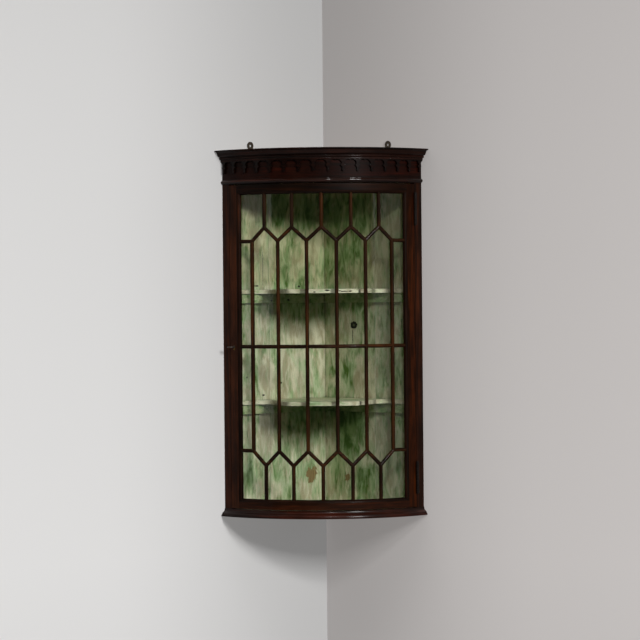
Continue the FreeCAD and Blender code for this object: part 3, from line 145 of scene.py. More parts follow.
@dataclass(frozen=True)
class Bow:
    """The arc of the cabinet's front and the walls behind it.

    Attributes:
        radius: From the bow centre to the face of the door.
        centre_y: The bow centre's place on the part's Y axis.
        wall_distance: From the bow centre to either wall, square to the wall.
    """

    radius: float = 0.375
    centre_y: float = 0.174783
    wall_distance: float = 0.039198

    def outward(self, angle: float) -> Vector:
        """Give the direction out of the bow at an angle from the front, in degrees to the right."""
        turn = math.radians(angle)
        return Vector((math.sin(turn), -math.cos(turn), 0))

    def corner(self) -> Vector:
        """Give the floor point where the two walls meet."""
        return Vector((0, self.centre_y + self.wall_distance * math.sqrt(2), 0))

    def into_wall(self, side: int) -> Vector:
        """Give the direction into the left wall for -1, or into the right wall for 1."""
        return Vector((side, 1, 0)).normalized()

    def on_wall(self, side: int, station: float, level: float, depth: float) -> Vector:
        """Give a point at a wall.

        Args:
            side: -1 for the left wall and 1 for the right one.
            station: How far it is from the corner along the wall.
            level: Its height.
            depth: How far it is behind the face of the wall.

        Returns:
            The point.
        """
        along = Vector((side, -1, 0)).normalized()
        return self.corner() + along * station + self.into_wall(side) * depth + Vector((0, 0, level))

    def coordinates(self, add: Add) -> Socket:
        """Unroll the bow: millimetres round the arc, out from its centre, and up.

        Args:
            add: Adds a node to the material's tree.

        Returns:
            A vector socket.
        """
        flat = add("TexCoord", output="Object")
        moved = add("VectorMath.SUBTRACT", flat, (0, self.centre_y, 0))
        x, y, z = add("SeparateXYZ", moved).node.outputs
        front = add("Math.MULTIPLY", y, -1.0)
        turn = add("Math.ARCTAN2", x, front)
        around = add("Math.MULTIPLY", turn, self.radius)
        plan = add("CombineXYZ", x, y)
        out = add("VectorMath.LENGTH", plan)
        unrolled = add("CombineXYZ", around, out, z)
        return add("VectorMath.SCALE", unrolled, Scale=1 / MM)


BOW = Bow()


class Grain(Enum):
    """The way the grain or the brush strokes run."""

    UPRIGHT = "upright"
    ROUND_THE_BOW = "round the bow"
    LEVEL = "level, from side to side"


@dataclass(frozen=True)
class Streaks:
    """A noise that is drawn out into streaks.

    Attributes:
        width: The width of a streak in millimetres.
        length: The length of a streak in millimetres.
        detail: How many finer layers it has.
        twist: How much the streaks wander.
    """

    width: float
    length: float
    detail: float
    twist: float = 0.0

    def build(self, add: Add, where: Socket, run: Grain) -> Socket:
        """Add the noise.

        Args:
            add: Adds a node to the material's tree.
            where: Coordinates in millimetres.
            run: The way that the streaks run.

        Returns:
            The noise, from 0 to 1.
        """
        along, across = 1 / self.length, 1 / self.width
        scale = (across, across, along) if run is Grain.UPRIGHT else (along, across, across)
        drawn = add("Mapping", where, Scale=scale)
        return add("TexNoise", drawn, Scale=1.0, Detail=self.detail, Distortion=self.twist)


# Finishes

@dataclass(frozen=True)
class Finish:
    """A material, named for what it is and how its surface was made.

    Attributes:
        name: The material's name.
    """

    name: str

    def surface(self, add: Add) -> Socket:
        """Add the nodes of the surface, which each finish does in its own way.

        Args:
            add: Adds a node to the material's tree.

        Returns:
            The shader.
        """
        raise NotImplementedError

    def build(self) -> bpy.types.Material:
        """Build the material.

        Returns:
            The finished material.
        """
        material = bpy.data.materials.new(self.name)
        material.use_nodes = True
        build_tree(material.node_tree, "OutputMaterial", self.surface)
        return material


def dress(node_names: Iterable[str], finish: Finish) -> None:
    """Give CAD nodes a finish.

    Args:
        node_names: The nodes to dress.
        finish: Their finish.
    """
    material = finish.build()
    for name in node_names:
        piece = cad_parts[name]
        if not piece.material_slots:
            piece.data.materials.append(material)
        for slot in piece.material_slots:
            slot.material = material
        LOG.info("%s is dressed in %s", name, material.name)


@dataclass(frozen=True)
class PolishedMahogany(Finish):
    """French-polished mahogany, two centuries old: planed, stained and polished with a pad.

    It is nearly black-brown with a red glow where light enters, straight streaks along the
    grain, a broad soft figure, and a thin hard gloss that is worn at the edges.

    Attributes:
        grain: The way the streaks run.
        shade: How far the tone moves to the red, from 0 to 1.
        offset: A shift of the pattern in millimetres, so that no two boards match.
        dark: Colour of the late wood and of old grime.
        middle: Colour of most of the surface.
        red: Colour of the early wood where the polish is thin.
        polish: How much of the polish is left.
        polish_roughness: How dull the polish is.
        grime_mm: How far grime and painted shade reach out of a crevice, in millimetres.
        grime_tone: The share of the colour that grime and painted shade leave.
        top_tone: The share of the colour that is left at the top of the cabinet.
        darkening_levels: Where the darkening towards the top starts and is full, in millimetres above the
            floor.
        figure: The broad figure.
        streak: The streaks of early and late wood.
        pore: The pores.
        cloud_mm: The size of the stain's clouds.
    """

    grain: Grain
    shade: float = 0.5
    offset: Point = (0.0, 0.0, 0.0)
    dark: str = "#0e0704"
    middle: str = "#241108"
    red: str = "#47210f"
    polish: float = 0.04
    polish_roughness: float = 0.07
    grime_mm: float = 7.0
    grime_tone: float = 0.45
    top_tone: float = 1.0
    darkening_levels: tuple[float, float] = (740.0, 950.0)
    figure: Streaks = Streaks(17.0, 240.0, 3.0, 0.6)
    streak: Streaks = Streaks(3.2, 120.0, 4.0, 0.3)
    pore: Streaks = Streaks(0.9, 22.0, 2.0)
    cloud_mm: float = 85.0

    def surface(self, add: Add) -> Socket:
        """Add the nodes of the surface.

        Args:
            add: Adds a node to the material's tree.

        Returns:
            The shader.
        """
        base = BOW.coordinates(add)
        where = add("VectorMath.ADD", base, self.offset)
        figure, streak, pore = (
            layer.build(add, where, self.grain) for layer in (self.figure, self.streak, self.pore))
        mixed = add("Mix", Factor=0.42, A=figure, B=streak)
        toned = add("Math.ADD", mixed, (self.shade - 0.5) * 0.5)
        colour = add("ValToRGB", toned, stops=((0.3, self.dark), (0.5, self.middle), (0.72, self.red)))
        clouds = add("TexNoise", where, Scale=1 / self.cloud_mm, Detail=2.0)
        cloudy = add("MapRange", clouds, 0.35, 0.7, 0.62, 1.25)
        pored = add("MapRange", pore, 0.3, 0.52, 0.55)
        depth = add("Math.MULTIPLY", cloudy, pored)
        stained = add("VectorMath.SCALE", colour, Scale=depth)
        # Ambient occlusion darkens crevices and recesses: partly grime, partly painted shade.
        crevice = add("AmbientOcclusion", output="AO", samples=4, Distance=self.grime_mm * MM)
        grime = add("MapRange", crevice, 0.2, 0.85, self.grime_tone)
        # The wood is drawn darker towards the top of the cabinet, down to top_tone.
        level = add("SeparateXYZ", base, output="Z")
        top_darkening = add("MapRange", level, *self.darkening_levels, 1.0, self.top_tone)
        dirt = add("Math.MULTIPLY", grime, top_darkening)
        soiled_and_shaded = add("VectorMath.SCALE", stained, Scale=dirt)
        rough = add("MapRange", clouds, 0, 1, 0.34, 0.5)
        height = add("Mix", Factor=0.5, A=streak, B=pore)
        rounded = add("Bevel", samples=4, Radius=0.9 * MM)
        bump = add("Bump", Strength=0.1, Distance=0.35 * MM, Height=height, Normal=rounded)
        return add("BsdfPrincipled", IOR=1.5, Specular_IOR_Level=0.03, Coat_Weight=self.polish,
                   Coat_Roughness=self.polish_roughness, Base_Color=soiled_and_shaded, Roughness=rough, Normal=bump,
                   Coat_Normal=rounded)


def dress_in_mahogany(name: str, grain: Grain, shade: float, offset: Point, nodes: Iterable[str] = (),
                      **look: Any) -> None:
    """Dress CAD nodes in polished mahogany.

    Args:
        name: The node's name, or a name for the nodes where several are given.
        grain: The way the grain runs.
        shade: How far the tone moves to the red.
        offset: A shift of the pattern in millimetres.
        nodes: The nodes, where they aren't the one that `name` gives.
        look: Whatever else the finish is given.
    """
    dress(nodes or [name], PolishedMahogany(f"polished_mahogany_{name}", grain, shade, offset, **look))


# Places on the painted boards, in millimetres

# The paint above the upper shelf is drawn darker and yellower as painted shade: where it starts and is full,
# and its tint
UPPER_SHADE_LEVELS = (664, 690)
UPPER_SHADE_TINT = "#e4e4d3"
# Where the paint is rubbed to the cream (above 0), and where it is drawn a deeper green (below 0), which is
# thick paint in places and painted shade under the shelves and at the top: middle, reach sideways and up, how
# much
WEAR_AND_SHADE_AREAS = (
    ((-179, 34, 753), 28, 81, 0.8),
    ((-84, 129, 734), 28, 39, 0.5),
    ((-23, 190, 750), 23, 79, 0.7),
    ((91, 122, 703), 31, 29, 0.5),
    ((168, 45, 734), 38, 58, 1.1),
    ((-184, 30, 541), 26, 41, 1),
    ((-83, 130, 530), 35, 31, 1),
    ((-17, 197, 524), 39, 28, 1),
    ((89, 124, 556), 32, 43, 0.6),
    ((167, 47, 606), 38, 16, 0.5),
    ((-168, 45, 411), 35, 66, 1),
    ((-85, 128, 414), 36, 57, 1.1),
    ((-17, 196, 416), 39, 61, 1.1),
    ((107, 107, 415), 16, 59, 0.6),
    ((146, 67, 431), 22, 43, 1.1),
    ((-167, 47, 236), 33, 62, 1),
    ((142, 71, 240), 28, 31, 0.7),
    ((-193, 20, 80), 19, 33, 0.8),
    ((-56, 157, 62), 35, 26, 0.9),
    ((11, 202, 81), 18, 44, 0.8),
    ((195, 18, 88), 23, 39, 0.8),
    ((-135, 78, 903), 47, 45, -0.8),
    ((-49, 164, 901), 50, 49, -0.7),
    ((83, 130, 897), 118, 55, -1),
    ((-113, 100, 749), 21, 78, -0.5),
    ((82, 131, 787), 50, 39, -0.8),
    ((-52, 162, 612), 109, 35, -0.6),
    ((79, 135, 623), 53, 24, -1),
    ((-53, 161, 261), 107, 47, -0.6),
    ((75, 138, 230), 59, 79, -1.3),
    ((125, 88, 95), 52, 51, -1),
    ((-223, -10, 112), 21, 58, -0.6),
    ((-199, 14, 408), 8, 31, -0.8),
    ((76, 138, 414), 23, 59, -0.8),
    ((181, 33, 412), 21, 54, -0.3),
    ((19, 195, 750), 18, 79, -0.7),
    ((-153, 61, 122), 21, 35, -0.4),
    # These two rows draw the shaded top front corners paler: painted light.
    ((-210.7, 2.5, 913.6), 36, 38.4, 1.1),
    ((208.5, 4.8, 883.2), 37.1, 64.9, 0.8),
    ((48, 165, 100), 42, 50, -0.6),
    ((-26, 187, 412), 14, 62, -1.1),
    ((152, 61, 740), 26, 50, 0.5),
    ((70, 143, 290), 60, 26, -1.5),
    ((62, 150, 750), 75, 85, -0.5),
    ((-90, 122, 700), 60, 40, -0.4),
    ((-212, 1, 110), 50, 60, -0.4),
)
# How much an area's amount of 1 adds to the rubbed patches, and to how pale the green is; below 0 it deepens
# both
WEAR_AND_SHADE_TO_RUBBING = 0.075
WEAR_AND_SHADE_TO_PALENESS = 0.07
# The tint of painted shade, and the areas of the bottom compartment that it darkens: middle, reach sideways
# and up, how much
PAINTED_SHADE_TINT = "#c4ceaa"
PAINTED_SHADE_AREAS = (
    ((66, 147, 262), 56, 58, 1),
    ((-36, 176, 284), 60, 40, 0.7),
    ((42, 171, 112), 30, 60, 0.6),
)
# The bottom board's strip under the door, drawn dark as dust and painted shade: radii where it starts and is
# full, its top and its colour
SILL_RADII = (337, 341)
SILL_TOP = 30.0
SILL_DUST_AND_SHADE = "#140a06"
# The case is painted this far and further from the walls, and between these levels
UNPAINTED_DEPTH = 11.2
PAINTED_LEVELS = (21.0, 992.0)
# Rubbed spots on the back boards: middle, radius and raggedness
MARKS = (
    ((-41.4, 171.9, 105.2), 23, 36),
    ((64.4, 148.8, 99.8), 13, 26),
)
# Knot holes: middle and radius
KNOTS = (
    ((89.2, 124, 555.2), 15),
    ((-128.3, 85, 385.1), 4),
    ((-154, 40.8, 630.6), 4),
    ((-105.1, 89.8, 632.3), 5),
)
# The colours of a knot hole from its middle to its edge
KNOT_RINGS = (
    (0.0, "#5c6446"), (0.30, "#4a4c34"), (0.42, "#0b0805"), (0.80, "#0d0a06"), (1.0, "#3c4526"),
)
# Chips and cracks: their colour, their middle, and how far they reach sideways and up
CRACK = "#24150d"
CHIPS = (
    ((-75.1, 138.2, 672.6), (5, 3)),
    ((-196.7, 16.5, 674.5), (9, 2.2)),
    ((85.3, 127.9, 521), (1.6, 24)),
    ((-226.3, -13, 404.4), (2.2, 3.5)),
    ((-179.9, 33.3, 350.8), (6, 2.4)),
    ((47.2, -167, 656.9), (9, 1.9)),
    ((66, -163.6, 655.6), (13, 1.8)),
    ((82.4, -160.2, 655.8), (4.5, 2)),
    ((105.5, -153.7, 660.5), (5, 2.8)),
    ((14.8, -169.9, 658.9), (8, 2.4)),
    ((-21.9, -169.5, 654.3), (4, 1.8)),
    ((-178.9, 34.4, 722), (1, 58)),
)


@dataclass
class PaintLayers:
    """The colour of a painted board, while one layer after another goes on it. Sizes are in millimetres.

    Attributes:
        add: Adds a node to the material's tree.
        base: Object coordinates.
        colour: The colour so far.
    """

    add: Add
    base: Socket
    colour: Socket | None = None

    def level(self) -> Socket:
        """Give the height in millimetres."""
        return self.add("SeparateXYZ", self.base, output="Z")

    def cover(self, share: Socket, over: str | Socket, blend: str = "MIX") -> None:
        """Lay a colour over the one so far.

        Args:
            share: How much of it goes on, from 0 to 1.
            over: The colour, as a hex code or a socket.
            blend: How the two mix.
        """
        laid = linear(over) if isinstance(over, str) else over
        self.colour = self.add("Mix", data_type="RGBA", blend_type=blend, Factor=share, A=self.colour, B=laid)

    def zone(self, centre: Point, wide: float, high: float, amount: float) -> Socket:
        """Tell how far a point is inside a soft-edged area.

        Args:
            centre: The area's middle.
            wide: How far it reaches sideways.
            high: How far it reaches up and down.
            amount: What it gives at its middle.

        Returns:
            The amount, which fades to 0 outside the area.
        """
        scale = (1 / wide, 1 / wide, 1 / high)
        shift = tuple(-place * part for place, part in zip(centre, scale))
        apart = self.add("VectorMath.MULTIPLY_ADD", self.base, scale, shift)
        out = self.add("VectorMath.LENGTH", apart)
        return self.add("MapRange", out, 0.5, 1.5, amount, 0.0, interpolation_type="SMOOTHSTEP")

    def ragged_distance(self, centre: Point, scale: Point, wander: float, **edge: float) -> Socket:
        """Tell how far a point is from a centre, and let that wander.

        Args:
            centre: The centre.
            scale: How much each direction counts.
            wander: How much the noise adds or takes away at most.
            edge: The settings of the noise.

        Returns:
            The distance.
        """
        apart = self.add("VectorMath.SUBTRACT", self.base, centre)
        oval = self.add("Mapping", apart, Scale=scale)
        out = self.add("VectorMath.LENGTH", oval)
        noise = self.add("TexNoise", self.base, **edge)
        rough = self.add("Math.MULTIPLY_ADD", noise, wander * 2, -wander)
        return self.add("Math.ADD", out, rough)

    def cover_inside(self, distance: Socket, reach: float, soft: float, over: str | Socket) -> None:
        """Lay a colour on all that is near enough.

        Args:
            distance: How far each point is from the middle.
            reach: The distance at which the colour ends.
            soft: The width of its soft edge.
            over: The colour, as a hex code or a socket.
        """
        self.cover(self.add("MapRange", distance, reach, reach - soft), over)

    def bare_spot(self, timber: Socket, centre: Point, reach: float, ragged: float) -> None:
        """Rub the paint off round a point.

        Args:
            timber: The wood under the paint.
            centre: The spot's middle.
            reach: The spot's radius.
            ragged: How far its edge wanders.
        """
        distance = self.ragged_distance(centre, (1, 1, 1), ragged, Scale=1 / 17, Detail=5, Roughness=0.65)
        self.cover_inside(distance, reach, soft=2.5, over=timber)

    def chip(self, centre: Point, wide: float, high: float) -> None:
        """Draw a dark chip or crack.

        Args:
            centre: The chip's middle.
            wide: How far it reaches sideways.
            high: How far it reaches up and down.
        """
        scale = (1 / wide, 1 / wide, 1 / high)
        distance = self.ragged_distance(centre, scale, wander=0.6, Scale=1 / 5, Detail=4)
        self.cover_inside(distance, reach=1.1, soft=0.25, over=CRACK)

    def knot_hole(self, centre: Point, reach: float) -> None:
        """Draw the dark hole that a knot left.

        Args:
            centre: The hole's middle.
            reach: Its radius.
        """
        distance = self.ragged_distance(centre, (1, 1, 1.35), wander=reach * 0.45, Scale=1 / 6, Detail=3)
        part = self.add("Math.DIVIDE", distance, reach)
        rings = self.add("ValToRGB", part, stops=KNOT_RINGS)
        self.cover_inside(distance, reach, soft=1.2, over=rings)

    def dusty_shaded_sill(self) -> None:
        """Darken the strip of the bottom board that lies under the door: dust and wax, and painted shade."""
        plan = self.add("VectorMath.MULTIPLY_ADD", self.base, (1, 1, 0), (0, -BOW.centre_y / MM, 0))
        radius = self.add("VectorMath.LENGTH", plan)
        under_door = self.add("MapRange", radius, *SILL_RADII)
        low = self.add("Math.LESS_THAN", self.level(), SILL_TOP)
        self.cover(self.add("Math.MULTIPLY", under_door, low), SILL_DUST_AND_SHADE)

    def unpainted_outside(self, timber: Socket) -> None:
        """Leave the wall faces, the top and the underside of the case as bare wood.

        Args:
            timber: The bare wood.
        """
        x, y, z = self.add("SeparateXYZ", self.base).node.outputs
        side = self.add("Math.ABSOLUTE", x)
        back = self.add("Math.ADD", side, y)
        limit = (BOW.wall_distance / MM - UNPAINTED_DEPTH) * math.sqrt(2) + BOW.centre_y / MM
        outside = self.add("Math.GREATER_THAN", back, limit)
        for comparison, level in zip(("Math.LESS_THAN", "Math.GREATER_THAN"), PAINTED_LEVELS):
            beyond = self.add(comparison, z, level)
            outside = self.add("Math.MAXIMUM", outside, beyond)
        self.cover(outside, timber)


@dataclass(frozen=True)
class WornGreenPaint(Finish):
    """Oil-bound distemper, brushed green over cream on softwood and rubbed by long use.

    The brush left streaks; the cream shows through in patches and the wood in a few bare
    spots. Where a board isn't painted, the same board shows old bare pine.

    Attributes:
        inner_only: Whether only the faces inside the case are painted.
        run: The way the brush went.
        offset: A shift of the pattern in millimetres, so that no two boards match.
        cream: Colour of the old undercoat where the green is rubbed off.
        dull_cream: Colour of the undercoat under a film of dirt.
        pale: The green where it is thin.
        green: Most of the green.
        deep: The green where the brush left it thick, and of painted shade in shaded areas and on undersides.
        pine: Bare wood.
        old_pine: Bare wood between its fibres.
        patch: The rubbed patches.
        brush: The brush strokes.
        hair: The marks of single hairs.
        tone: How thick the green lies.
        film: The film of dirt on the undercoat.
        fibre: The fibres of the bare wood.
        side: The wall whose rubbed and shaded areas it shows: -1 for the left, 1 for the right, 0 for none.
        rubbed_edges_and_shaded_undersides: Whether sleeves and crockery rubbed its upright edges to the
            cream, and its undersides
        are drawn a deeper green as painted shade.
    """

    inner_only: bool = True
    run: Grain = Grain.UPRIGHT
    offset: Point = (0.0, 0.0, 0.0)
    cream: str = "#e6dac3"
    dull_cream: str = "#c0b196"
    pale: str = "#c0caa6"
    green: str = "#93a87a"
    deep: str = "#4d6c24"
    pine: str = "#9c8058"
    old_pine: str = "#6c5238"
    patch: Streaks = Streaks(54.0, 92.0, 5.0, 0.9)
    brush: Streaks = Streaks(11.0, 42.0, 6.0, 0.6)
    hair: Streaks = Streaks(3.0, 24.0, 4.0, 0.4)
    tone: Streaks = Streaks(20.0, 52.0, 6.0, 0.7)
    film: Streaks = Streaks(19.0, 60.0, 4.0, 0.6)
    fibre: Streaks = Streaks(1.4, 60.0, 4.0, 0.2)
    side: int = 0
    rubbed_edges_and_shaded_undersides: bool = False

    def surface(self, add: Add) -> Socket:
        """Add the nodes of the surface.

        Args:
            add: Adds a node to the material's tree.

        Returns:
            The shader.
        """
        layers = PaintLayers(add, millimetres(add))
        where = add("VectorMath.ADD", layers.base, self.offset)
        patch, brush, hair, tone, film, fibre = (
            noise.build(add, where, self.run)
            for noise in (self.patch, self.brush, self.hair, self.tone, self.film, self.fibre))
        worn = add("Mix", Factor=0.36, A=patch, B=brush)
        worn = add("Mix", Factor=0.22, A=worn, B=hair)
        # Below 0 an area deepens the green: thick paint in places, painted shade under the shelves and at the
        # top.
        for wear_and_shade in self.wear_and_shade(layers):
            worn = add("Math.MULTIPLY_ADD", wear_and_shade, WEAR_AND_SHADE_TO_RUBBING, worn)
            tone = add("Math.MULTIPLY_ADD", wear_and_shade, WEAR_AND_SHADE_TO_PALENESS, tone)
        rubbed = add("MapRange", worn, 0.41, 0.6, interpolation_type="SMOOTHSTEP")
        creams = add("ValToRGB", film, stops=((0.4, self.dull_cream), (0.56, self.cream)))
        timber = add("ValToRGB", fibre, stops=((0.35, self.old_pine), (0.62, self.pine)))
        layers.colour = add("ValToRGB", tone,
                            stops=((0.3, self.deep), (0.48, self.green), (0.62, self.pale)))
        layers.cover(rubbed, creams)
        # Painted shade above the upper shelf, darker and yellower.
        top_darkening = add("MapRange", layers.level(), *UPPER_SHADE_LEVELS)
        layers.cover(top_darkening, UPPER_SHADE_TINT, "MULTIPLY")
        # Painted shade in the bottom compartment.
        for area in PAINTED_SHADE_AREAS:
            layers.cover(layers.zone(*area), PAINTED_SHADE_TINT, "MULTIPLY")
        grit = add("TexNoise", where, Scale=1 / 5.0, Detail=6.0, Roughness=0.7)
        layers.cover(add("MapRange", grit, 0.66, 0.72), timber)
        for mark in MARKS:
            layers.bare_spot(timber, *mark)
        for knot in KNOTS:
            layers.knot_hole(*knot)
        for centre, reaches in CHIPS:
            layers.chip(centre, *reaches)
        if self.inner_only:
            layers.dusty_shaded_sill()
            layers.unpainted_outside(timber)
        # Ambient occlusion darkens corners and crevices: partly grime, partly painted shade.
        crevice = add("AmbientOcclusion", output="AO", samples=4, Distance=9 * MM)
        grime = add("MapRange", crevice, 0.2, 0.8, 0.45)
        soiled_and_shaded = add("VectorMath.SCALE", layers.colour, Scale=grime)
        height = add("Mix", Factor=0.5, A=brush, B=hair)
        rounded = add("Bevel", samples=4, Radius=0.8 * MM)
        bump = add("Bump", Strength=0.35, Distance=0.5 * MM, Height=height, Normal=rounded)
        return add("BsdfPrincipled", IOR=1.45, Roughness=0.62, Specular_IOR_Level=0.35, Base_Color=soiled_and_shaded,
                   Normal=bump)

    def wear_and_shade(self, layers: PaintLayers) -> list[Socket]:
        """Tell how the paint is rubbed (above 0) or deepened by thick paint and painted shade (below 0).

        Args:
            layers: The board's layers.

        Returns:
            The amount of each area on this board's wall, which is 0 outside the area, and of its edges
            and undersides.
        """
        wears_and_shades = [layers.zone(*area) for area in WEAR_AND_SHADE_AREAS if area[0][0] * self.side > 0]
        if self.rubbed_edges_and_shaded_undersides:
            normal = layers.add("TexCoord", output="Normal")
            slope = layers.add("SeparateXYZ", normal, output="Z")
            steep = layers.add("Math.ABSOLUTE", slope)
            wears_and_shades.append(layers.add("MapRange", steep, 0.2, 0.9, 1.1, 0.0))
            # Faces that look down get a deeper green: painted shade.
            wears_and_shades.append(layers.add("MapRange", slope, -0.8, -0.2, -0.9, 0.0))
        return wears_and_shades


@dataclass(frozen=True)
class OldWindowGlass(Finish):
    """Crown glass, blown and flattened: clear, faintly green and a little uneven.

    A pane this thin hardly bends what is behind it, so light goes straight through. Each face
    gives back a few parts in a hundred, dulled by a bloom of age, and more of what meets it aslant.

    Attributes:
        tint: The colour of light that goes through.
        wave_mm: The size of the unevenness.
        least: The share that it gives back of light that meets it square.
        most: The share that it gives back of light that grazes it.
    """

    name: str = "blown_crown_glass"
    tint: str = "#f4f7f4"
    wave_mm: float = 46.0
    least: float = 0.022
    most: float = 0.9

    def surface(self, add: Add) -> Socket:
        """Add the nodes of the surface.

        Args:
            add: Adds a node to the material's tree.

        Returns:
            The shader.
        """
        where = BOW.coordinates(add)
        wave = add("TexNoise", where, Scale=1 / self.wave_mm, Detail=1.0)
        bump = add("Bump", Strength=0.12, Distance=0.6 * MM, Height=wave)
        mirror = add("BsdfGlossy", Roughness=0.02, Normal=bump)
        clear = add("BsdfTransparent", Color=linear(self.tint))
        facing = add("LayerWeight", output="Facing", Blend=0.5)
        steep = add("Math.POWER", facing, 5.0)
        share = add("MapRange", steep, 0, 1, self.least, self.most)
        return add("MixShader", share, clear, mirror)


@dataclass(frozen=True)
class OldMetal(Finish):
    """Iron, steel or brass with a skin of age: forged or cast, rubbed bright where hands reach.

    Attributes:
        clean: The colour of the rubbed metal.
        aged: The colour of its rust or tarnish.
        metallic: How much of it still shines as metal.
        rough: Its roughness between the clean and the aged places.
        spot_mm: The size of its rust or tarnish spots.
        shine: How strongly the skin of age shines, which is little under stain and dust.
    """

    clean: str
    aged: str
    metallic: float = 0.8
    rough: float = 0.5
    spot_mm: float = 3.5
    shine: float = 0.5

    def surface(self, add: Add) -> Socket:
        """Add the nodes of the surface.

        Args:
            add: Adds a node to the material's tree.

        Returns:
            The shader.
        """
        spots = add("TexNoise", millimetres(add), Scale=1 / self.spot_mm, Detail=5.0, Roughness=0.65)
        age = add("MapRange", spots, 0.36, 0.62)
        colour = add("Mix", data_type="RGBA", A=linear(self.clean), B=linear(self.aged), Factor=age)
        rough = add("MapRange", age, 0, 1, self.rough - 0.15, self.rough + 0.25)
        rounded = add("Bevel", samples=4, Radius=0.4 * MM)
        bump = add("Bump", Strength=0.3, Distance=0.2 * MM, Height=spots, Normal=rounded)
        return add("BsdfPrincipled", Metallic=self.metallic, Specular_IOR_Level=self.shine,
                   Base_Color=colour, Roughness=rough, Normal=bump)


@dataclass(frozen=True)
class MattWallPaint(Finish):
    """Matt emulsion on plaster, rolled: pale grey and even. Its back can't be seen.

    Near the corner each wall hides part of the room's light from the other, so the paint is
    drawn darker there and high up. A little light of its own stands for what the other walls
    of the room send back.

    Attributes:
        colour: The paint.
        corner_tone: The share of the colour that is left in the corner.
        high_tone: The share that is left at the top.
        glow: The light that the rest of the room sends back.
        corner_reach: How far the corner's shade reaches along the walls.
        heights: Between which heights the paint turns from full colour to its tone at the top.
    """

    colour: str
    corner_tone: float = 1.0
    high_tone: float = 1.0
    glow: float = 0.0
    corner_reach: float = 0.9
    heights: tuple[float, float] = (-0.1, 1.6)

    def surface(self, add: Add) -> Socket:
        """Add the nodes of the surface.

        Args:
            add: Adds a node to the material's tree.

        Returns:
            The shader.
        """
        flat = add("TexCoord", output="Object")
        roller = add("TexNoise", flat, Scale=1 / (2.4 * MM), Detail=2.0)
        bump = add("Bump", Strength=0.12, Distance=0.3 * MM, Height=roller)
        moved = add("VectorMath.SUBTRACT", flat, BOW.corner())
        x, y, z = add("SeparateXYZ", moved).node.outputs
        plan = add("CombineXYZ", x, y)
        station = add("VectorMath.LENGTH", plan)
        near = add("MapRange", station, 0, self.corner_reach, self.corner_tone,
                   interpolation_type="SMOOTHSTEP")
        high = add("MapRange", z, *self.heights, 1.0, self.high_tone)
        share = add("Math.MULTIPLY", near, high)
        colour = add("VectorMath.SCALE", linear(self.colour)[:3], Scale=share)
        paint = add("BsdfPrincipled", Roughness=0.9, Specular_IOR_Level=0.1, Emission_Strength=self.glow,
                    Base_Color=colour, Emission_Color=colour, Normal=bump)
        side = add("NewGeometry", output="Backfacing")
        return add("MixShader", side, paint, add("BsdfTransparent"))


# Modelling by operators

def only(piece: Piece) -> None:
    """Select one piece and nothing else."""
    bpy.ops.object.select_all(action="DESELECT")
    piece.select_set(True)
    bpy.context.view_layer.objects.active = piece


def fix_place(piece: Piece) -> None:
    """Put a piece's place, turn and scale into its mesh."""
    only(piece)
    bpy.ops.object.transform_apply(location=True, rotation=True, scale=True)


@dataclass
class Head:
    """The head of a screw or nail, modelled at the origin and looking along Z.

    Attributes:
        radius: The head's radius.
        height: How far it stands proud.
    """

    radius: float
    height: float

    def disc(self, sides: int, depth: float, middle: float, rim: float, rise: Point) -> Piece:
        """Model a disc with a raised top.

        Args:
            sides: The number of its sides.
            depth: Its height from bottom to rim.
            middle: The level of its middle.
            rim: The width of the rim round the raised part.
            rise: How far the raised part is moved.

        Returns:
            The disc.
        """
        bpy.ops.mesh.primitive_cylinder_add(vertices=sides, radius=self.radius, depth=depth,
                                            location=(0, 0, middle))
        disc = bpy.context.object
        fix_place(disc)
        bpy.ops.object.mode_set(mode="EDIT")
        bpy.ops.mesh.select_mode(type="FACE")
        bpy.ops.mesh.select_all(action="DESELECT")
        bpy.ops.object.mode_set(mode="OBJECT")
        for face in disc.data.polygons:
            face.select = face.normal.z > 0.9
        bpy.ops.object.mode_set(mode="EDIT")
        bpy.ops.mesh.inset(thickness=rim)
        bpy.ops.transform.translate(value=rise)
        bpy.ops.object.mode_set(mode="OBJECT")
        return disc


@dataclass
class SlottedScrew(Head):
    """The head of a hand-filed wood screw, sunk flush.

    Attributes:
        depth: The head's depth.
        slot_width: The slot's width.
        slot_depth: The height of the slot's cutter, which stands half above the head's top.
    """

    depth: float = 1.0 * MM
    slot_width: float = 0.7 * MM
    slot_depth: float = 1.1 * MM

    def model(self) -> Piece:
        """Model one head.

        Returns:
            The head.
        """
        head = self.disc(sides=24, depth=self.depth, middle=self.height - self.depth / 2, rim=0.35 * MM,
                         rise=(0, 0, 0.08 * MM))
        bpy.ops.mesh.primitive_cube_add(size=1, location=(0, 0, self.height))
        cutter = bpy.context.object
        cutter.scale = (self.radius * 3, self.slot_width, self.slot_depth)
        fix_place(cutter)
        only(head)
        cut = head.modifiers.new("slot", "BOOLEAN")
        cut.operation = "DIFFERENCE"
        cut.object = cutter
        bpy.ops.object.modifier_apply(modifier="slot")
        bpy.data.objects.remove(cutter)
        return head


@dataclass
class RoseNail(Head):
    """A hand-forged nail head with a hammered top.

    Attributes:
        sunk: How far its rim stands in the wood.
    """

    sunk: float = 0.3 * MM

    def model(self) -> Piece:
        """Model one head.

        Returns:
            The head.
        """
        return self.disc(sides=8, depth=self.height, middle=self.height / 2 - self.sunk,
                         rim=self.radius * 0.62, rise=(0.2 * MM, 0, self.height * 0.5))


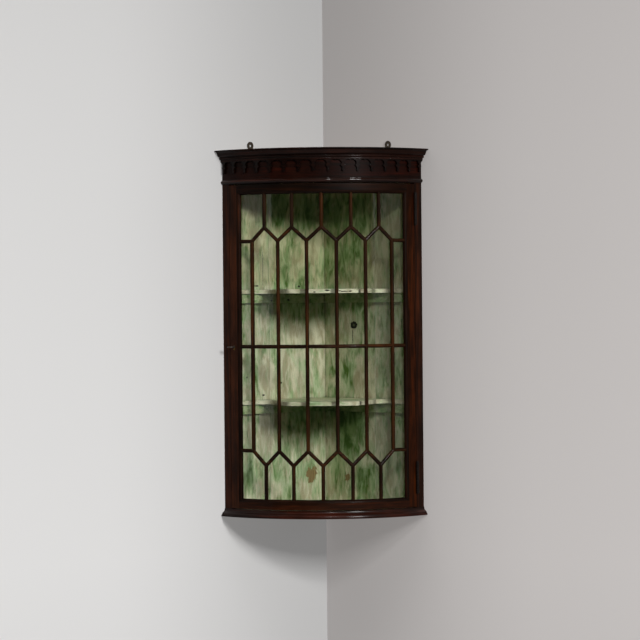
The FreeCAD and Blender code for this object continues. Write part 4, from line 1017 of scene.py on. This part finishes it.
def fasten_copies(model: Piece, name: str, places: Places, body: str, finish: Finish) -> None:
    """Put copies of a piece at several places, join and dress them, and fasten them to a body.

    Args:
        model: The piece, modelled at the origin and looking along Z. It is removed.
        name: The joined piece's name.
        places: For each copy its place, the direction it looks and its turn about that.
        body: The CAD body that it rides on.
        finish: Its finish.
    """
    made = []
    for place, direction, turn in places:
        copy = link_new(name, model.data.copy())
        aim = direction.to_track_quat("Z", "Y").to_matrix().to_4x4()
        copy.data.transform(Matrix.Translation(place) @ aim @ Matrix.Rotation(turn, 4, "Z"))
        made.append(copy)
    bpy.data.objects.remove(model)
    only(made[0])
    for copy in made:
        copy.select_set(True)
    bpy.ops.object.join()
    piece = bpy.context.object
    piece.name = name
    piece.data.materials.clear()
    piece.data.materials.append(finish.build())
    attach(piece, body)
    LOG.info("%s rides on %s in %s", piece.name, body, finish.name)


# Sub-assemblies

@dataclass
class Case:
    """The fixed case: back boards, stiles, frieze rail, boards and shelves.

    Attributes:
        back_boards: The four planks of the back.
        nail_levels: The heights of the rows of nails.
        nail_stations: How far the nails of a row are from the corner.
        nail_spread: By how much a nail may stand further out than its station.
    """

    back_boards: tuple[str, ...] = ("back_plank_left_inner", "back_plank_left_outer",
                                    "back_plank_right_inner", "back_plank_right_outer")
    nail_levels: tuple[float, ...] = (0.011, 0.330, 0.657, 0.998)
    nail_stations: tuple[float, ...] = (0.060, 0.150, 0.216, 0.330)
    nail_spread: float = 4 * MM

    def dress(self) -> None:
        """Dress the case's CAD nodes."""
        for index, name in enumerate(self.back_boards):
            side = -1 if "left" in name else 1
            dress([name], WornGreenPaint(f"brushed_distemper_on_pine_{index}", side=side,
                                         offset=(index * 371.0, 0.0, index * 593.0)))
        dress(["upper_shelf", "lower_shelf", "door_stop"], WornGreenPaint(
            "rubbed_distemper_on_shelves", inner_only=False, run=Grain.LEVEL, offset=(911.0, 77.0, 0.0),
            patch=Streaks(60.0, 92.0, 5.0, 0.9), rubbed_edges_and_shaded_undersides=True))
        # The cleats get greyer, darker greens than the boards: painted shade under the shelves.
        dress(["upper_shelf_cleats", "lower_shelf_cleats"], WornGreenPaint(
            "shaded_distemper_on_cleats", inner_only=False, run=Grain.LEVEL, offset=(50.0, 500.0, 0.0),
            cream="#c6c6a2", dull_cream="#aaa984", pale="#a3b584", green="#7f9a64"))
        dress(["top_board", "bottom_board", "glue_blocks"], WornGreenPaint(
            "distemper_inside_bare_pine_outside", run=Grain.LEVEL, offset=(233.0, 41.0, 0.0)))
        for name, shade, shift in (("case_stile_left", 0.67, 13.0), ("case_stile_right", 0.47, 730.0)):
            dress_in_mahogany(name, Grain.UPRIGHT, shade, (shift, 0.0, 400.0), top_tone=0.6)
        # The frieze's deep grime_tone darkens its field round the arcade's pendants: painted shade.
        dress_in_mahogany("frieze", Grain.ROUND_THE_BOW, 0.36, (0.0, 0.0, 77.0), ["frieze_rail"],
                          middle="#200a05", red="#42150b", grime_mm=9.0, grime_tone=0.15)

    def nails(self) -> None:
        """Model the nails that hold the back boards to the boards and shelves."""
        nail = RoseNail(radius=3.6 * MM, height=0.6 * MM)
        places = []
        for side in (-1, 1):
            for row, level in enumerate(self.nail_levels):
                for index, station in enumerate(self.nail_stations):
                    station += self.nail_spread * ((row + index) % 3)
                    place = BOW.on_wall(side, station, level, depth=-0.4 * MM)
                    turn = (row * 7 + index * 3) % 5 * 0.6
                    places.append((place, BOW.into_wall(side), turn))
        fasten_copies(nail.model(), "back_board_nails", places, "cabinet",
                      OldMetal("forged_iron_nails", "#4a4038", "#33231a", metallic=0.6, rough=0.6))


@dataclass
class Mouldings:
    """Cornice, arcade, bead and base: all bent round the bow.

    Attributes:
        looks: Each moulding's node, its shade, the shift of its pattern, its polish, the
            polish's roughness and its tone at the top.
    """

    looks: tuple[tuple[str, float, float, float, float, float], ...] = (
        ("cornice_moulding", 0.37, 0.0, 0.10, 0.15, 0.95),
        # The arcade's low top tone draws it dark all over: partly painted shade, so that its pendants read as
        # dark shapes.
        ("frieze_arcade", 0.36, 31.0, 0.13, 0.12, 0.5),
        ("bead_moulding", 0.40, 57.0, 0.26, 0.07, 0.9),
        ("base_moulding", 0.48, 93.0, 0.15, 0.20, 1.0),
    )

    def dress(self) -> None:
        """Dress the mouldings' CAD nodes."""
        for name, shade, shift, polish, dull, tone in self.looks:
            dress_in_mahogany(name, Grain.ROUND_THE_BOW, shade, (shift, 0.0, shift * 3), middle="#220d06",
                              red="#45190c", polish=polish, polish_roughness=dull, top_tone=tone)


@dataclass
class Door:
    """The glazed door: frame, glazing mouldings, astragal bars and panes.

    Attributes:
        bars: The bars that are bent round the bow or slant across it.
        uprights: The upright bars.
        panes: The rows of panes.
    """

    bars: tuple[str, ...] = ("end_bars", "middle_rail_bar", "zigzag_bars_upper", "zigzag_bars_lower")
    uprights: tuple[str, ...] = ("upright_bars_upper", "upright_bars_middle", "upright_bars_lower")
    panes: tuple[str, ...] = ("glass_upper", "glass_middle_upper", "glass_middle_lower", "glass_lower")

    def dress(self) -> None:
        """Dress the door's CAD nodes."""
        for name, shade, shift, middle, red in (("door_stile_lock", 0.72, 150.0, "#26140b", "#482412"),
                                                ("door_stile_hinge", 0.60, 620.0, "#220d03", "#481e07")):
            dress_in_mahogany(name, Grain.UPRIGHT, shade, (shift, 0.0, shift), middle=middle, red=red,
                              top_tone=0.55)
        for name, shade, shift, polish in (("door_rail_top", 0.20, 20.0, 0.02),
                                           ("door_rail_bottom", 0.56, 320.0, 0.04)):
            dress_in_mahogany(name, Grain.ROUND_THE_BOW, shade, (shift, 0.0, shift), polish=polish)
        # The bars and sight mouldings get deep grime tones: grime, and painted shade at their edges.
        for name, grain, shade, offset, nodes in (
                ("cross_bars", Grain.ROUND_THE_BOW, 0.50, (45.0, 0.0, 12.0), self.bars),
                ("upright_bars", Grain.UPRIGHT, 0.54, (9.0, 0.0, 210.0), self.uprights)):
            dress_in_mahogany(name, grain, shade, offset, nodes, dark="#0c0602", middle="#211207",
                              red="#46250b", polish=0.06, grime_mm=11.0, grime_tone=0.18)
        for grain, ends in ((Grain.ROUND_THE_BOW, ("top", "bottom")), (Grain.UPRIGHT, ("left", "right"))):
            dress_in_mahogany(f"sight_mouldings_{grain.name.lower()}", grain, 0.30, (70.0, 0.0, 33.0),
                              [f"sight_moulding_{end}" for end in ends],
                              polish=0.03, grime_mm=11.0, grime_tone=0.2)
        dress(self.panes, OldWindowGlass())


@dataclass
class Ironwork:
    """Hinges, hanging plates, lock and key.

    Attributes:
        hinge_angle: Where the joint between door and case is on the bow, in degrees.
        leaf_gap: Half the gap between the two leaves of a hinge.
        hinge_feet: The heights of the hinges' lower ends.
        screw_rises: How high the screws are above these.
        screw_depth: How far the hinge screws are behind the face of the door.
        eye_stations: How far the left and the right hanging plate are from the corner.
        plate_screws: The heights of the plates' screws.
    """

    hinge_angle: float = 46.15
    leaf_gap: float = 0.25 * MM
    hinge_feet: tuple[float, float] = (0.066, 0.850)
    screw_rises: tuple[float, ...] = (0.014, 0.045, 0.076)
    screw_depth: float = 8 * MM
    eye_stations: tuple[float, float] = (0.3009, 0.2769)
    plate_screws: tuple[float, ...] = (1.022, 1.046)

    def dress(self) -> None:
        """Dress the metal CAD nodes."""
        dress([f"{kind}_{level}" for kind in ("hinge_leaf_case", "hinge_leaf_door", "hinge_pin")
               for level in ("upper", "lower")],
              OldMetal("cast_iron_butt_hinge", "#1b1512", "#0b0807", metallic=0.08, rough=0.66, shine=0.08))
        dress(["hanging_plate_left", "hanging_plate_right"],
              OldMetal("rolled_iron_hanging_plate", "#4a4031", "#211a13", metallic=0.55, rough=0.48))
        dress(["key", "lock_bolt"], OldMetal("filed_steel_key", "#5a534c", "#2c241e", rough=0.42))
        dress(["lock_case", "lock_cover", "strike_plate"],
              OldMetal("sheet_steel_lock", "#6f6a64", "#3c322a", metallic=0.75))
        dress(["keyhole_liner"],
              OldMetal("cast_brass_keyhole_liner", "#8a6c36", "#4a3517", metallic=0.9, rough=0.4))

    def hinge_screws(self, side: int, body: str) -> None:
        """Model the screws of one stile's two leaves.

        Args:
            side: 1 for the case's leaves and -1 for the door's.
            body: The body that they ride on.
        """
        radial = BOW.outward(self.hinge_angle)
        across = Vector((-radial.y, radial.x, 0)) * side
        foot_point = Vector((0, BOW.centre_y, 0)) + radial * (BOW.radius - self.screw_depth)
        places = [(foot_point + across * self.leaf_gap + Vector((0, 0, foot + rise)), -across, index * 1.1)
                  for foot in self.hinge_feet for index, rise in enumerate(self.screw_rises)]
        iron = OldMetal("old_iron_screw", "#6a635c", "#2d241d", metallic=0.7, rough=0.45)
        fasten_copies(SlottedScrew(radius=3.0 * MM, height=0.02 * MM).model(), f"hinge_screws_{body}",
                      places, body, iron)

    def plate_screw_heads(self) -> None:
        """Model the screws that hold the hanging plates to the back boards."""
        places = []
        for side, station in zip((-1, 1), self.eye_stations):
            for index, level in enumerate(self.plate_screws):
                place = BOW.on_wall(side, station, level, depth=-0.05 * MM)
                places.append((place, BOW.into_wall(side), index + side * 0.4))
        iron = OldMetal("old_iron_plate_screw", "#6a5f52", "#33271d")
        fasten_copies(SlottedScrew(radius=3.3 * MM, height=0.05 * MM).model(), "hanging_plate_screws",
                      places, "cabinet", iron)


@dataclass
class Room:
    """The corner of a pale room, and its floor.

    Attributes:
        reach: The length of each wall.
        floor_level: The floor's height, below the hanging cabinet.
        ceiling: The height at which the walls end.
        gap: The gap between the cabinet's back and each wall.
        walls: For each wall its name, its side, its paint and the light that it gives back.
        floor: The floor's colour.
    """

    reach: float = 3.2
    floor_level: float = -1.35
    ceiling: float = 3.0
    gap: float = 1.2 * MM
    walls: tuple[tuple[str, int, str, float], ...] = (
        ("left_wall", -1, "#bab9b8", 0.52), ("right_wall", 1, "#b2aeac", 0.65))
    floor: str = "#c9c7c5"

    def build(self) -> None:
        """Model both walls and the floor."""
        height = self.ceiling - self.floor_level
        for name, side, colour, glow in self.walls:
            middle = BOW.on_wall(side, self.reach / 2 - self.gap, self.floor_level + height / 2, self.gap)
            bpy.ops.mesh.primitive_plane_add(size=1, location=middle,
                                             rotation=(math.pi / 2, 0, -side * math.pi / 4))
            bpy.context.object.scale = (self.reach, height, 1)
            paint = MattWallPaint(f"rolled_emulsion_{name}", colour, corner_tone=0.76, high_tone=0.72,
                                  glow=glow)
            self.make_stage(name, paint)
        bpy.ops.mesh.primitive_plane_add(size=self.reach * 4, location=(0, 0, self.floor_level))
        self.make_stage("pale_floor", MattWallPaint("painted_floor", self.floor, glow=0.45))

    def make_stage(self, name: str, finish: MattWallPaint) -> None:
        """Finish the plane just added, and let light pass through it on its way to the cabinet.

        Args:
            name: The plane's name.
            finish: Its paint.
        """
        piece = bpy.context.object
        piece.name = name
        fix_place(piece)
        piece.data.materials.append(finish.build())
        piece.visible_shadow = False
        piece.visible_diffuse = False
        LOG.info("%s is part of the stage", piece.name)


@dataclass
class Lamp:
    """A soft rectangular lamp that looks at the cabinet.

    Attributes:
        name: The lamp's name.
        azimuth: Degrees to the right of the front.
        elevation: Degrees above the horizon.
        distance: Metres from the cabinet.
        size: Width and height in metres.
        level: The light that it gives on a surface that faces it, where 1 shows a colour
            as it is written. The lamp's size has no part in that, only in how soft it is.
        target: The point on the cabinet that it looks at.
    """

    name: str
    azimuth: float
    elevation: float
    distance: float
    size: tuple[float, float]
    level: float
    target: Point = (0.0, 0.0, 0.55)

    def build(self) -> None:
        """Add the lamp."""
        data = bpy.data.lights.new(self.name, "AREA")
        data.shape = "RECTANGLE"
        data.size, data.size_y = self.size
        data.energy = self.level * (math.pi * self.distance) ** 2
        lamp = link_new(self.name, data)
        turn, rise = math.radians(self.azimuth), math.radians(self.elevation)
        back = Vector((math.sin(turn) * math.cos(rise), -math.cos(turn) * math.cos(rise), math.sin(rise)))
        lamp.location = Vector(self.target) + back * self.distance
        lamp.rotation_euler = (-back).to_track_quat("-Z", "Y").to_euler()
        LOG.info("%s is lit", self.name)


@dataclass
class StudioLight:
    """Two lamps as a window at the right, one overhead, weaker ones round about, and the world.

    Attributes:
        dim: The colour of the light that the world gives.
        dim_level: The strength of that light.
        pale: The colour that the camera sees past the walls.
    """

    dim: str = "#f4f4f6"
    dim_level: float = 0.04
    pale: str = "#e6e5e4"

    def surface(self, add: Add) -> Socket:
        """Add the world's nodes: pale for the camera and dim for all other rays.

        Args:
            add: Adds a node to the world's tree.

        Returns:
            The shader.
        """
        dim = add("Background", Color=linear(self.dim), Strength=self.dim_level)
        pale = add("Background", Color=linear(self.pale), Strength=1.0)
        return add("MixShader", add("LightPath", output="Is Camera Ray"), dim, pale)

    def build(self) -> None:
        """Add the lamps and the world."""
        # Each with its azimuth, elevation, distance, size and level
        for lamp in (
                Lamp("window_light", 30, 18, 7.0, (1.1, 1.3), 0.85),
                Lamp("second_window_light", 6, 24, 7.0, (0.30, 0.5), 0.20),
                Lamp("overhead_light", 4, 55, 6.0, (5.0, 2.6), 0.18),
                Lamp("left_fill", -60, 42, 6.0, (3.0, 2.2), 0.12),
                Lamp("rear_left_light", -140, 30, 6.0, (3.5, 3.5), 0.35),
                Lamp("rear_right_light", 140, 30, 6.0, (3.5, 3.5), 0.40)):
            lamp.build()
        world = bpy.data.worlds.new("plain_studio")
        bpy.context.scene.world = world
        world.use_nodes = True
        build_tree(world.node_tree, "OutputWorld", self.surface)


@dataclass
class Camera:
    """The camera of the photograph, worked out from the cabinet's edges.

    Attributes:
        place: Where it stands.
        yaw: Its turn to the right, in radians.
        pitch: Its tilt upwards, in radians.
        roll: Its roll about the line of sight, in radians.
        lens: Its focal length in millimetres.
    """

    place: Point = (0.160, -8.175217, 0.6257)
    yaw: float = -0.020752
    pitch: float = -0.006554
    roll: float = -0.008569
    lens: float = 155.77

    def build(self) -> None:
        """Add the camera and make it the scene's."""
        data = bpy.data.cameras.new("photograph_camera")
        data.sensor_width = 36.0
        data.lens = self.lens
        data.clip_start, data.clip_end = 0.1, 60.0
        camera = link_new("photograph_camera", data)
        turns = ((-self.yaw, "Z"), (math.pi / 2 + self.pitch, "X"), (self.roll, "Z"))
        matrix = Matrix.Translation(self.place)
        for angle, axis in turns:
            matrix @= Matrix.Rotation(angle, 4, axis)
        camera.matrix_world = matrix
        bpy.context.scene.camera = camera
        LOG.info("%s stands at %s", camera.name, self.place)


def main() -> None:
    """Build the scene piece by piece."""
    logging.basicConfig(level=logging.INFO, format="%(name)s: %(message)s")
    bpy.context.scene.view_settings.view_transform = "Standard"
    case = Case()
    case.dress()
    case.nails()
    Mouldings().dress()
    Door().dress()
    iron = Ironwork()
    iron.dress()
    iron.hinge_screws(1, "cabinet")
    iron.hinge_screws(-1, "door")
    iron.plate_screw_heads()
    Room().build()
    StudioLight().build()
    Camera().build()


if __name__ == "__main__":
    main()
